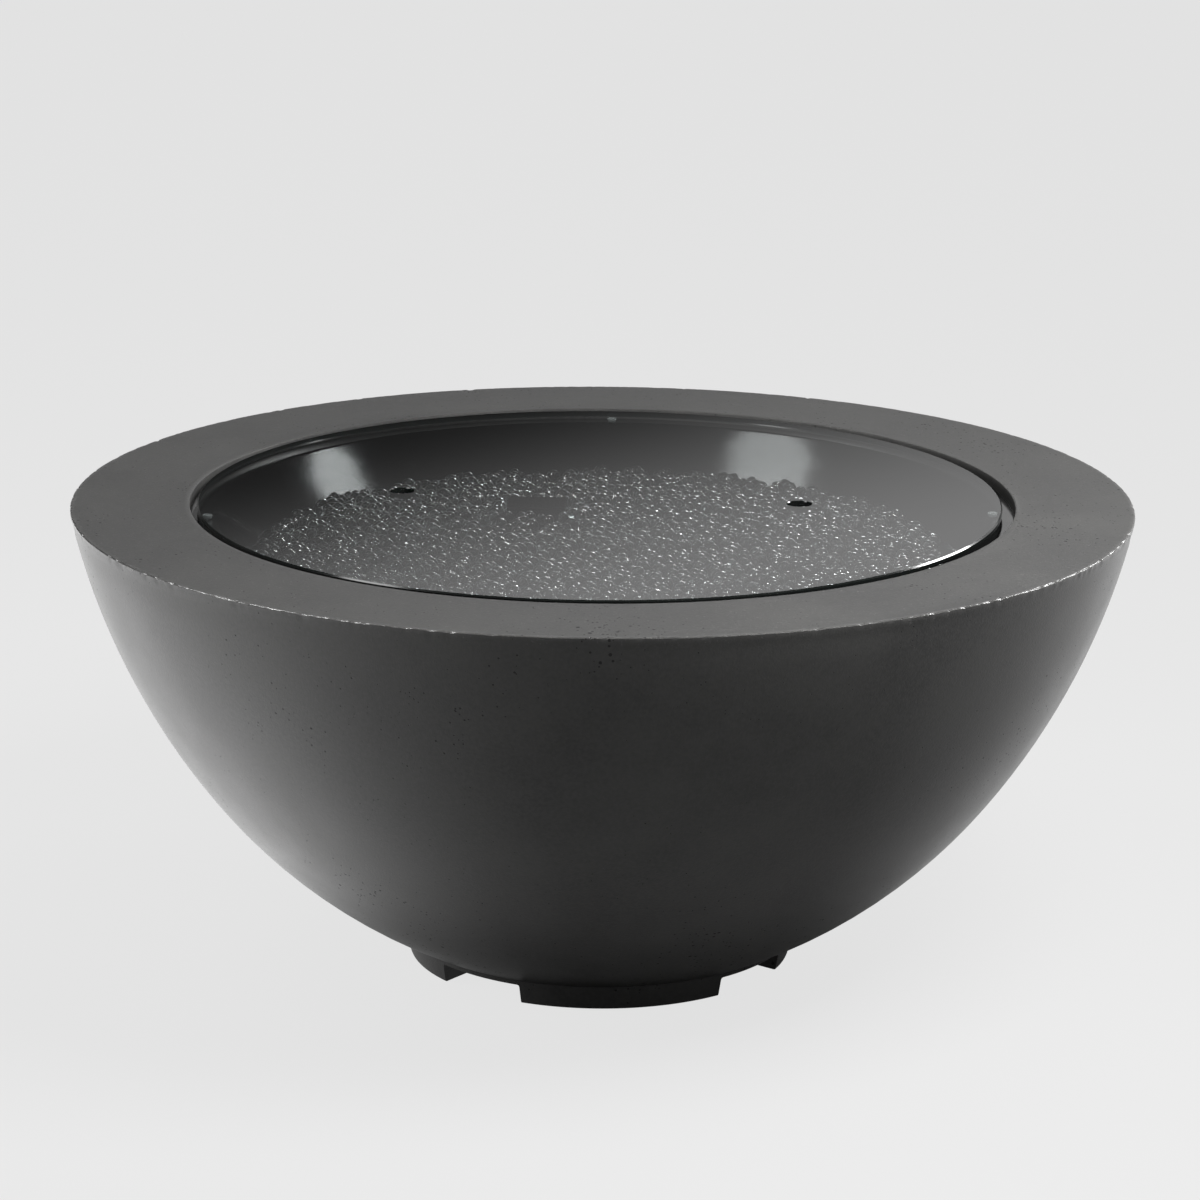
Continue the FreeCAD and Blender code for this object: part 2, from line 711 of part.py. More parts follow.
def igniter_shield():
    """Folded sheet hood over the electrode and the probe, open at the back, with two tabs."""
    tall = "shield_top_height - pan_floor_height"
    hood = block("hood_block", "shield_width", "shield_depth", "2", tall)
    hollow = primitive("Box", "hood_hollow",
                       ("-shield_width / 2 + shield_sheet", "-shield_depth / 2 + shield_sheet", "-1"),
                       Length="shield_width - 2 * shield_sheet", Width="shield_depth + 5",
                       Height=tall + " - shield_sheet + 1")
    tools = [hollow]
    for i in range(3):
        tools.append(primitive("Box", "hood_vent_%d" % i,
                               ("-shield_width", "-shield_depth / 2 + %d" % (9 + 12 * i), "10"),
                               Length="2 * shield_width", Width="5", Height="18"))
    tab = block("hood_tabs", "shield_width + 2 * shield_tab", "18", "2", "shield_sheet", [
        ("(shield_width + shield_tab) / 2", "0", "screw_radius + thread_play"),
        ("-(shield_width + shield_tab) / 2", "0", "screw_radius + thread_play")])
    gap = primitive("Box", "tab_gap",
                    ("-shield_width / 2 + shield_sheet", "-20", "-1"),
                    Length="shield_width - 2 * shield_sheet", Width="40", Height="5")
    shield = joined("igniter_shield", [less("hood", hood, tools), less("tabs", tab, [gap])])
    node(place(shield, ("shield_x", "shield_y", FLOOR_TOP), angle="shield_turn"),
         "igniter_shield")


def screw(label, length="screw_length"):
    """Pan-head screw along its own Z, head seat at zero, with a hexagon socket."""
    body = revolve(label, [
        ("0", "-(%s)" % length),
        ("screw_radius", "-(%s)" % length),
        ("screw_radius", "0"),
        ("screw_head_radius", "0"),
        ("screw_head_radius", "screw_head_height - 1"),
        ("screw_head_radius - 1.2", "screw_head_height"),
        ("0", "screw_head_height"),
    ])
    socket = sketch_on(body, label + "_socket", "XY_Plane")
    corners = []
    for i in range(6):
        corners.append(ring_spot("screw_radius * 0.7", 60 * i))
    draw(socket, corners)
    bind(socket, ".AttachmentOffset.Base.z", "screw_head_height")
    pocket = body.newObject("PartDesign::Pocket", label + "_socket_cut")
    pocket.Profile = socket
    bind(pocket, "Length", "screw_head_height - 1")
    body.Tip = pocket
    doc.recompute()
    return body


def burner_fasteners():
    """Shield screws in the pan floor, with their nuts below it."""
    screws, nuts = [], []
    for i, side in enumerate((-1, 1)):
        x, y = shield_spot("%d * (shield_width + shield_tab) / 2" % side, "0")
        one = screw("shield_screw_%d" % i, "10")
        screws.append(place(one, (x, y, FLOOR_TOP + " + shield_sheet")))
        low = FLOOR_BELOW + " - 4"
        blank = hexagon("shield_nut_%d" % i, x, y, low, "5", "4")
        hole = rod("shield_nut_hole_%d" % i, x, y, low + " - 1", "screw_radius", "6")
        nuts.append(less("shield_nut_cut_%d" % i, blank, [hole]))
    node(joined("shield_screws", screws), "shield_screws")
    node(joined("shield_nuts", nuts), "shield_nuts")


def electrode():
    """Ceramic insulator through the pan floor with its wire, and the flame probe beside it."""
    x, y = shield_spot("-electrode_offset", "0")
    ceramic = joined("ceramic_solid", [
        rod("ceramic_rod", x, y, FLOOR_TOP + " - 18", "ceramic_radius", "44"),
        rod("ceramic_shoulder", x, y, FLOOR_TOP, "ceramic_radius + 2", "4")])
    bore = rod("ceramic_bore", x, y, FLOOR_TOP + " - 20", "electrode_wire_radius", "60")
    node(less("electrode_insulator", ceramic, [bore]), "electrode_insulator")
    wire = rod("wire_rise", x, y, FLOOR_TOP + " - 22", "electrode_wire_radius", "54")
    tip_x, tip_y = shield_spot("-electrode_offset + electrode_wire_radius", "0")
    tip = primitive("Cylinder", "wire_tip", (x, y, FLOOR_TOP + " + 31"), (1, 0, 0), "-90",
                    Radius="electrode_wire_radius", Height="14")
    node(joined("electrode_wire", [wire, tip]), "electrode_wire")
    px, py = shield_spot("electrode_offset", "0")
    probe = joined("flame_probe", [
        rod("probe_rod", px, py, FLOOR_TOP + " - 18", "probe_radius", "50"),
        rod("probe_shoulder", px, py, FLOOR_TOP, "ceramic_radius + 2", "3")])
    node(probe, "flame_probe")


def glass_cover():
    """Tempered glass disc with arrised edges and two finger holes, on four clear bumpers."""
    low = FLANGE_TOP + " + seat_gap + bumper_height"
    high = low + " + cover_thickness"
    body = revolve("cover_disc", [
        ("0", low),
        ("cover_radius - cover_arris", low),
        ("cover_radius", low + " + cover_arris"),
        ("cover_radius", high + " - cover_arris"),
        ("cover_radius - cover_arris", high),
        ("0", high),
    ])
    holes = sketch_on(body, "finger_holes", "XY_Plane")
    for half in (0, 180):
        x, y = ring_spot("finger_hole_circle", "finger_hole_turn + %d" % half)
        circle(holes, x, y, "finger_hole_radius")
    cut_through(body, holes, "finger_hole_cut")
    node(place(body, ("cover_shift", "0", "0")), "glass_cover")
    bumpers = []
    for side in ("right", "back", "left", "front"):
        x, y = ring_spot("bumper_circle", "bumper_%s_turn" % side)
        dome = revolve("bumper_" + side, [
            ("0", "0"),
            ("bumper_radius * 0.6", "0"),
            ("bumper_radius", "bumper_height"),
            ("0", "bumper_height"),
        ], {1: ("bumper_radius * 0.8", 1)})
        bumpers.append(place(dome, (x + " + cover_shift", y, FLANGE_TOP + " + seat_gap")))
    node(joined("cover_bumpers", bumpers), "cover_bumpers")


def control_panel():
    """Screwed plate in the niche, with its anchors cast into the concrete."""
    holes = [("knob_x", "0", "bushing_radius + thread_play"),
             ("igniter_x", "0", "igniter_radius + thread_play")]
    holes += [(sx + "plate_screw_x", sz + "plate_screw_z", "screw_radius + thread_play")
              for sx, sz in SCREW_SPOTS]
    plate = block("control_panel", "plate_width", "plate_height", "plate_corner",
                  "plate_thickness", holes)
    node(outward(plate, "0", "panel_y", "panel_z"), "control_panel")
    screws, anchors = [], []
    for i, (sx, sz) in enumerate(SCREW_SPOTS):
        at = (sx + "plate_screw_x", "panel_z + (%s1) * plate_screw_z" % sz)
        screws.append(outward(screw("panel_screw_%d" % i), at[0], PLATE_FRONT, at[1]))
        anchors.append(outward(anchor("panel_anchor_%d" % i), at[0], "panel_y - anchor_length",
                               at[1]))
    node(joined("panel_screws", screws), "panel_screws")
    node(joined("panel_anchors", anchors), "panel_anchors")


def anchor(label):
    """Threaded insert: a short tube along its own Z."""
    return revolve(label, [
        ("screw_radius", "0"), ("anchor_radius", "0"),
        ("anchor_radius", "anchor_length"), ("screw_radius", "anchor_length")])


def gas_valve():
    """Valve block behind the plate: bushing through it, gas in from below and out at the back."""
    back = "panel_y - valve_depth"
    main = primitive("Box", "valve_block",
                     ("knob_x - valve_width / 2", back, "panel_z - valve_height / 2"),
                     Length="valve_width", Width="valve_depth", Height="valve_height")
    bushing = rod_out("valve_bushing", "knob_x", "panel_y - 1", "panel_z", "bushing_radius",
                      "1 + plate_thickness + bushing_length")
    inlet = rod("valve_inlet", "knob_x", "panel_y - inlet_port_back",
                "panel_z - valve_height / 2 - port_stub_length", "port_stub_radius",
                "port_stub_length + 1")
    outlet = rod_out("valve_outlet", "knob_x", back + " - port_stub_length", "panel_z - 6",
                     "port_stub_radius", "port_stub_length + 1")
    probe = rod_out("valve_probe_port", "knob_x - 14", back + " - 8", "panel_z + 10",
                    "probe_port_radius", "9")
    bore = rod_out("stem_bore", "knob_x", "stem_inner_y - 4.5", "panel_z",
                   "stem_radius + stem_play", "80")
    cavity = rod_out("plunger_bore", "knob_x", "stem_inner_y - plunger_length - 5", "panel_z",
                     "plunger_radius + stem_play", "20")
    ways = [rod("inlet_way", "knob_x", "panel_y - inlet_port_back",
                "panel_z - valve_height / 2 - port_stub_length - 1", "inlet_bore_radius", "20"),
            rod_out("outlet_way", "knob_x", back + " - port_stub_length - 1", "panel_z - 6",
                    "inlet_bore_radius - 1", "17")]
    solid = joined("valve_solid", [main, bushing, inlet, outlet, probe])
    node(less("gas_valve", solid, [bore, cavity] + ways), "gas_valve")
    nut = less("valve_nut", hex_out("valve_nut_blank", "knob_x", PLATE_FRONT, "panel_z", "12.5",
                                    "4"),
               [rod_out("valve_nut_bore", "knob_x", PLATE_FRONT + " - 1", "panel_z",
                        "bushing_radius", "6")])
    node(nut, "valve_nut")
    plunger = rod_out("valve_plunger", "knob_x", "stem_inner_y - seat_gap - plunger_length",
                      "panel_z", "plunger_radius", "plunger_length")
    node(plunger, "valve_plunger")


def hex_out(label, x, y, z, corner_radius, length):
    """Hexagon along +Y."""
    obj = doc.addObject("Part::Prism", label)
    obj.Polygon = 6
    bind(obj, "Circumradius", corner_radius)
    bind(obj, "Height", length)
    return outward(obj, x, y, z)


def control_knob():
    """Turned knob with grip flutes and a pointer, on a stem with one flat."""
    front = "knob_back_y + knob_length - 4"
    stem = rod_out("stem_rod", "knob_x", "stem_inner_y", "panel_z", "stem_radius",
                   front + " - stem_inner_y")
    flat = primitive("Box", "stem_flat_cut",
                     ("knob_x - stem_radius - 1", PLATE_FRONT + " + bushing_length + 1",
                      "panel_z + stem_flat"),
                     Length="2 * stem_radius + 2", Width="60", Height="4")
    node(less("valve_stem", stem, [flat]), "valve_stem")
    body = revolve("knob_turned", [
        ("0", "knob_recess_depth"),
        ("knob_recess_radius", "knob_recess_depth"),
        ("knob_recess_radius", "0"),
        ("knob_radius", "0"),
        ("knob_radius", "3"),
        ("knob_radius - 2", "4"),
        ("knob_radius - 3", "knob_length - 3"),
        ("knob_radius - 6", "knob_length"),
        ("0", "knob_length"),
    ])
    flute = sketch_on(body, "knob_flute", "XY_Plane")
    circle(flute, "knob_radius + 1.2", "0", "3")
    bind(flute, ".AttachmentOffset.Base.z", "4")
    groove = body.newObject("PartDesign::Pocket", "knob_flute_cut")
    groove.Profile = flute
    groove.Reversed = True
    bind(groove, "Length", "knob_length")
    body.Tip = groove
    doc.recompute()
    around(body, groove, "knob_flutes", "12")
    outward(body, "knob_x", "knob_back_y", "panel_z")
    bore = rod_out("knob_bore", "knob_x", "knob_back_y - 1", "panel_z", "stem_radius",
                   "knob_length - 3")
    key = primitive("Box", "knob_bore_key",
                    ("knob_x - stem_radius - 1", "knob_back_y - 2", "panel_z + stem_flat"),
                    Length="2 * stem_radius + 2", Width="60", Height="4")
    pointer = primitive("Box", "knob_pointer",
                        ("knob_x - 1", "knob_back_y + knob_length - 0.5", "panel_z + 2"),
                        Length="2", Width="1.2", Height="knob_radius - 9")
    hollow = less("knob_keyed_bore", bore, [key])
    node(joined("control_knob", [less("knob_hollow", body, [hollow]), pointer]), "control_knob")


def igniter():
    """Push igniter: barrel with a round cell, nut behind the plate, cap, button and spring."""
    back = "panel_y - igniter_length"
    bore = "(igniter_radius - igniter_wall)"
    barrel = revolve("igniter_housing", [
        ("0", "0"),
        ("igniter_radius", "0"),
        ("igniter_radius", "igniter_length + plate_thickness"),
        ("igniter_flange_radius", "igniter_length + plate_thickness"),
        ("igniter_flange_radius", "igniter_length + plate_thickness + igniter_flange"),
        (bore, "igniter_length + plate_thickness + igniter_flange"),
        (bore, "4"),
        ("0", "4"),
    ])
    node(outward(barrel, "igniter_x", back, "panel_z"), "igniter_housing")
    ring = less("igniter_nut", rod_out("igniter_nut_blank", "igniter_x", "panel_y - 6", "panel_z",
                                       "igniter_flange_radius", "6"),
                [rod_out("igniter_nut_bore", "igniter_x", "panel_y - 7", "panel_z",
                         "igniter_radius", "8")])
    node(ring, "igniter_nut")
    cap_y = PLATE_FRONT + " + igniter_flange"
    cap = revolve("igniter_cap", [
        ("button_radius + button_play", "0"),
        ("cap_radius", "0"),
        ("cap_radius", "cap_length - 2"),
        ("cap_radius - 2", "cap_length"),
        ("button_radius + button_play", "cap_length"),
    ])
    node(outward(cap, "igniter_x", cap_y, "panel_z"), "igniter_cap")
    cell = revolve("igniter_cell", [
        ("0", "0"),
        ("cell_radius", "0"),
        ("cell_radius", "cell_length - 1.5"),
        ("cell_radius * 0.35", "cell_length - 1.5"),
        ("cell_radius * 0.35", "cell_length"),
        ("0", "cell_length"),
    ])
    node(outward(cell, "igniter_x", back + " + 4", "panel_z"), "igniter_cell")
    rib = "seat_gap + 2.5"
    button = revolve("igniter_button", [
        ("0", "-(%s)" % rib),
        ("button_rib_radius", "-(%s)" % rib),
        ("button_rib_radius", "-seat_gap"),
        ("button_radius", "-seat_gap"),
        ("button_radius", "cap_length + button_proud - 1.5"),
        ("button_radius - 1.5", "cap_length + button_proud"),
        ("0", "cap_length + button_proud"),
    ])
    node(outward(button, "igniter_x", cap_y, "panel_z"), "igniter_button")
    start = size(back + " + 4 + cell_length") + size("spring_wire_radius") + 0.1
    end = size(cap_y + " - (%s)" % rib) - size("spring_wire_radius") - 0.3
    turns = size("spring_turns")
    steps = int(12 * turns)
    points = []
    for i in range(steps + 1):
        angle = 2 * math.pi * turns * i / steps
        points.append(V(size("spring_radius") * math.cos(angle),
                        size("spring_radius") * math.sin(angle), (end - start) * i / steps))
    wire = size("spring_wire_radius")
    section = []
    for k in range(7):
        angle = math.pi / 3 * k
        section.append(V(size("spring_radius") + wire * math.cos(angle), 0,
                         wire * math.sin(angle)))
    coil = Part.makePolygon(points).makePipeShell([Part.makePolygon(section)], True, True, 1)
    spring = doc.addObject("Part::Feature", "igniter_spring")
    spring.Shape = coil
    spring.Placement = FreeCAD.Placement(V(size("igniter_x"), start, size("panel_z")),
                                         FreeCAD.Rotation(V(1, 0, 0), -90))
    node(spring, "igniter_spring")


def run(points, bend):
    """Wire through points with each inner corner rounded to one bend radius."""
    edges = []
    start = points[0]
    for i in range(1, len(points) - 1):
        corner = points[i]
        come = (points[i - 1] - corner).normalize()
        leave = (points[i + 1] - corner).normalize()
        half = come.getAngle(leave) / 2
        reach = bend / math.tan(half)
        first = corner + come * reach
        last = corner + leave * reach
        middle = (come + leave).normalize()
        top = corner + middle * (bend / math.sin(half) - bend)
        edges.append(Part.LineSegment(start, first).toShape())
        edges.append(Part.Arc(first, top, last).toShape())
        start = last
    edges.append(Part.LineSegment(start, points[-1]).toShape())
    return Part.Wire(edges)


def line_through(label, spots, radius, bend):
    """Hose or lead swept along a run; stops unless its volume is its section times its length."""
    points = [V(*[size(text) for text in spot]) for spot in spots]
    path = run(points, size(bend))
    way = (points[1] - points[0]).normalize()
    disc = Part.Wire(Part.makeCircle(size(radius), points[0], way))
    swept = path.makePipeShell([disc], True, False)
    wanted = math.pi * size(radius) ** 2 * path.Length
    if abs(swept.Volume - wanted) > 0.01 * wanted:
        raise RuntimeError(label + " is not a clean sweep")
    print("%s: length %.0f mm, bend radius %.0f mm" % (label, path.Length, size(bend)))
    return swept, points


def hose(label, spots):
    """Gas hose with a nut at each end."""
    swept, points = line_through(label, spots, "hose_radius", "hose_bend")
    nuts = []
    for end, near in ((points[0], points[1]), (points[-1], points[-2])):
        way = (near - end).normalize()
        nuts.append(Part.makeCylinder(size("hose_nut_radius"), size("hose_nut_length"), end, way))
    obj = doc.addObject("Part::Feature", label)
    obj.Shape = swept.fuse(nuts)
    node(obj, label)


def lines():
    """The two gas hoses and the two leads inside the bowl."""
    back = "panel_y - valve_depth"
    port_z = "panel_z - valve_height / 2 - port_stub_length"
    hose("supply_hose", [
        ("0", "0", "floor_height + 32"),
        ("0", "0", "floor_height + 32 + hose_bend * 1.3"),
        ("knob_x", "panel_y - inlet_port_back", port_z + " - hose_bend * 1.13"),
        ("knob_x", "panel_y - inlet_port_back", port_z),
    ])
    hose("mixer_hose", [
        ("knob_x", back + " - port_stub_length", "panel_z - 6"),
        ("knob_x", back + " - port_stub_length - hose_bend * 1.9", "panel_z - 6"),
        ("0", "0", "mixer_bottom - 16 - hose_bend * 1.93"),
        ("0", "0", "mixer_bottom - 16"),
    ])
    ex, ey = shield_spot("-electrode_offset", "0")
    px, py = shield_spot("electrode_offset", "0")
    runs = (
        ("ignition_lead", [
            (ex, ey, FLOOR_TOP + " - 22"), (ex, ey, FLOOR_TOP + " - 52"),
            ("igniter_x", "300", "panel_z"), ("igniter_x", "panel_y - igniter_length", "panel_z")]),
        ("probe_lead", [
            (px, py, FLOOR_TOP + " - 18"), (px, py, FLOOR_TOP + " - 46"),
            ("knob_x - 14", "300", "panel_z + 10"),
            ("knob_x - 14", back + " - 8", "panel_z + 10")]),
    )
    for label, spots in runs:
        swept, points = line_through(label, spots, "lead_radius", "lead_bend")
        obj = doc.addObject("Part::Feature", label)
        obj.Shape = swept
        node(obj, label)


def gas_inlet():
    """Plate over the floor hole with the flare fitting that points down, its nut and screws."""
    plate = revolve("inlet_disc", [
        ("inlet_neck_radius", "0"),
        ("inlet_plate_radius", "0"),
        ("inlet_plate_radius", "inlet_plate_thickness"),
        ("inlet_neck_radius", "inlet_plate_thickness"),
    ])
    place(plate, ("0", "0", "floor_height"))
    holes, screws, anchors = [], [], []
    top = "floor_height + inlet_plate_thickness"
    for i in range(3):
        x, y = ring_spot("inlet_screw_circle", 90 + 120 * i)
        holes.append(rod("inlet_screw_hole_%d" % i, x, y, "floor_height - 1",
                         "screw_radius + thread_play", "inlet_plate_thickness + 2"))
        screws.append(place(screw("inlet_screw_%d" % i), (x, y, top)))
        anchors.append(place(anchor("inlet_anchor_%d" % i),
                             (x, y, "floor_height - anchor_length")))
    node(less("inlet_plate", plate, holes), "inlet_plate")
    node(joined("inlet_screws", screws), "inlet_screws")
    node(joined("inlet_anchors", anchors), "inlet_anchors")
    spigot = revolve("inlet_spigot", [
        ("inlet_bore_radius", "floor_height - 8 - flare_length - 3"),
        ("flare_radius - 3", "floor_height - 8 - flare_length - 3"),
        ("flare_radius", "floor_height - 8 - flare_length"),
        ("flare_radius", "floor_height - 8"),
        ("inlet_neck_radius", "floor_height - 8"),
        ("inlet_neck_radius", top + " + 2"),
        ("port_stub_radius", top + " + 2"),
        ("port_stub_radius", "floor_height + 32"),
        ("inlet_bore_radius", "floor_height + 32"),
    ])
    blank = hexagon("inlet_hex", "0", "0", top, "14", "9")
    bore = rod("inlet_hex_bore", "0", "0", top + " - 1", "inlet_bore_radius", "12")
    node(joined("inlet_fitting", [spigot, less("inlet_hex_ring", blank, [bore])]),
         "inlet_fitting")
    nut = hexagon("inlet_nut_blank", "0", "0", "floor_height - 6", "16", "6")
    nut_bore = rod("inlet_nut_bore", "0", "0", "floor_height - 7", "inlet_neck_radius", "8")
    node(less("inlet_nut", nut, [nut_bore]), "inlet_nut")


for make in (fire_bowl, burner_pan, burner, air_mixer, gas_orifice, fire_glass, igniter_shield,
             burner_fasteners, electrode, glass_cover, control_panel, gas_valve, control_knob,
             igniter, lines, gas_inlet):
    make()
doc.recompute()

for obj in doc.Objects:
    if "Invalid" in obj.State or "Error" in obj.State:
        raise RuntimeError("%s is not valid: %s" % (obj.Name, obj.State))
for obj in NODES:
    if obj.Shape.isNull() or not obj.Shape.isValid() or obj.Shape.Volume <= 0:
        raise RuntimeError(obj.Label + " has no valid solid")
    obj.Shape.exportStep("parts/%s.step" % obj.Label)
    box = obj.Shape.BoundBox
    print("%-20s %9.1f cm3  x %7.1f %7.1f  y %7.1f %7.1f  z %6.1f %6.1f" % (
        obj.Label, obj.Shape.Volume / 1000, box.XMin, box.XMax, box.YMin, box.YMax, box.ZMin,
        box.ZMax))
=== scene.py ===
import math
import random

import bmesh
import bpy
from mathutils import Matrix, Vector, noise


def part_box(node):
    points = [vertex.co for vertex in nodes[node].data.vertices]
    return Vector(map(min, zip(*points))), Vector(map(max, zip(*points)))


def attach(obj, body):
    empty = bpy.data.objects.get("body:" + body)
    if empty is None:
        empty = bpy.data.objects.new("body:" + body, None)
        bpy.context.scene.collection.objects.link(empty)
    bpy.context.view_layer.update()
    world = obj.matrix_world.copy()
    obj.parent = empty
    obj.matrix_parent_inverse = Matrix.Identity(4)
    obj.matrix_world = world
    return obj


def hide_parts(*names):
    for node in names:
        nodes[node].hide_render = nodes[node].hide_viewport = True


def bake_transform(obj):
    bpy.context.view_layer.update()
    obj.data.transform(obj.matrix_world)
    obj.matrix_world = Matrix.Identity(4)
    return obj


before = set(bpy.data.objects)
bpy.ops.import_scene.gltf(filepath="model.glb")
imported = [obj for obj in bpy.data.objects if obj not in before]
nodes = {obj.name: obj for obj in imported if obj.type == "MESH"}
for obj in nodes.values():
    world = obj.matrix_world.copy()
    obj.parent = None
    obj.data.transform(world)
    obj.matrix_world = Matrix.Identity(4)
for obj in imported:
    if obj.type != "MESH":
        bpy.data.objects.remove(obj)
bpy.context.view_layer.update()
print("frame loaded:", len(nodes), "pieces")

rimTop = 0.476              # m, height of the rim over the floor

view = {
    "lens": 126.9,          # mm on a 36 mm sensor
    "distance": 4.268,      # m from the middle of the rim
    "elevation": 13.554,    # degrees above the rim
    "turn": 7.2,            # degrees to the left of the front
    "aimDown": 1.396,       # degrees, the bowl sits above the middle of the picture
    "aimLeft": 0.026,
    "roll": 0.43,
}


def makeCamera():
    data = bpy.data.cameras.new("studioCamera")
    data.sensor_width = 36
    data.lens = view["lens"]
    data.clip_end = 200
    camera = bpy.data.objects.new("studioCamera", data)
    bpy.context.scene.collection.objects.link(camera)
    up, turn = math.radians(view["elevation"]), math.radians(view["turn"])
    outward = Vector((-math.sin(turn) * math.cos(up), -math.cos(turn) * math.cos(up), math.sin(up)))
    place = Vector((0, 0, rimTop)) + outward * view["distance"]
    forward = -outward
    right = forward.cross(Vector((0, 0, 1))).normalized()
    upward = right.cross(forward)
    down, left = math.tan(math.radians(view["aimDown"])), math.tan(math.radians(view["aimLeft"]))
    forward = (forward - upward * down - right * left).normalized()
    right = forward.cross(Vector((0, 0, 1))).normalized()
    upward = right.cross(forward)
    roll = math.radians(view["roll"])
    right, upward = (right * math.cos(roll) + upward * math.sin(roll),
                     upward * math.cos(roll) - right * math.sin(roll))
    turnMatrix = Matrix((right, upward, -forward)).transposed().to_4x4()
    camera.matrix_world = Matrix.Translation(place) @ turnMatrix
    bpy.context.scene.camera = camera


makeCamera()


def colour(code):
    # sRGB hex to the linear colour that the shaders work in
    parts = [int(code[i:i + 2], 16) / 255 for i in (1, 3, 5)]
    return [c / 12.92 if c <= 0.04045 else ((c + 0.055) / 1.055) ** 2.4 for c in parts] + [1.0]


def addNode(tree, kind, inputs=None, **settings):
    # an input takes a value, a socket, or a node, which stands for its first output in use
    node = tree.nodes.new(kind)
    for name, value in settings.items():
        setattr(node, name, value)
    for key, value in (inputs or {}).items():
        if isinstance(value, bpy.types.Node):
            value = next(out for out in value.outputs if out.enabled)
        if isinstance(value, bpy.types.NodeSocket):
            tree.links.new(value, node.inputs[key])
        else:
            node.inputs[key].default_value = value
    return node


def startMaterial(name):
    material = bpy.data.materials.new(name)
    material.use_nodes = True
    tree = material.node_tree
    tree.nodes.clear()
    return material, tree, addNode(tree, "ShaderNodeTexCoord").outputs["Object"]


def endMaterial(tree, inputs):
    shader = addNode(tree, "ShaderNodeBsdfPrincipled", inputs)
    addNode(tree, "ShaderNodeOutputMaterial", {"Surface": shader})


def newPiece(name, points, faces):
    mesh = bpy.data.meshes.new(name)
    mesh.from_pydata(points, [], faces)
    piece = bpy.data.objects.new(name, mesh)
    bpy.context.scene.collection.objects.link(piece)
    return piece


# pale sweep whose mirrored glow is painted dark in front where flags would stand, high softboxes
# left and right, a soft one over the front
studio = {
    "background": "#e5e5e5",
    "floorSize": 60, "floorDrop": 0.0005,     # m; just under the feet, so no two faces meet
    "floorBounce": 0.26,     # grey that the floor shows to soft bounced light
    "floorGlow": 0.92,       # share of the seen floor's brightness that takes no shadow
    "glowLevel": 1.03,
    "mirrorAround": [        # the mirrored floor: degrees to the left of the camera, level
        (-180, 0.75), (-140, 0.85), (-110, 0.55), (-80, 0.26), (-50, 0.12), (-15, 0.12),
        (5, 0.13), (22, 0.24), (42, 0.52), (66, 0.95), (104, 1.0), (140, 0.95)],
    "mirrorLevel": 2.3,
    "mirrorNear": (0.24, 0.44, 0.20),   # painted shadow: the mirrored floor darker this near to the foot
    "cardStrength": 0.78,    # pale card behind, mirrored in the glass cover
    "cardLow": 0.2255, "cardSpan": 0.0444,
    "upperCard": 1.15,       # its upper right part, which only satin faces pick up
    "ceiling": 0.035,
    "underCover": 0.06,      # what the pan and the glass beads mirror beside the boxes
    "ambient": 0.34,
    "boxes": [  # place, size, watts, and which rays meet it: soft, mirrored, through glass
        ("leftTopBox", (-1.8, 0.28, 3.17), (0.85, 1.2), 13, (1, 1, 0)),
        ("rightBackBox", (2.82, 1.31, 2.79), (0.75, 1.2), 18, (1, 1, 0)),
        ("leftLowBox", (-2.5, 0.5, 0.75), (1.3, 1.4), 34, (1, 0, 0)),
        ("frontTopBox", (0.70, -0.78, 1.72), (0.8, 0.8), 45, (1, 0, 0)),
    ],
    "glints": [  # small lamps for one thing alone: the fire glass, or the edges of rim and pane
        ("glintBack", (0.9, 2.3, 1.7), (0.7, 0.55), 64, "fireGlassOnly"),
        ("glintLeft", (-2.1, -0.5, 1.6), (0.6, 0.6), 64, "fireGlassOnly"),
        ("glintTop", (0.3, -0.9, 2.4), (0.4, 0.4), 34, "fireGlassOnly"),
        ("edgeRight", (2.55, 1.15, 2.05), (0.8, 1.0), 60, "edgesOnly"),
        ("edgeLeft", (-2.0, 0.44, 2.62), (0.6, 0.6), 75, "rimOnly"),
    ],
}


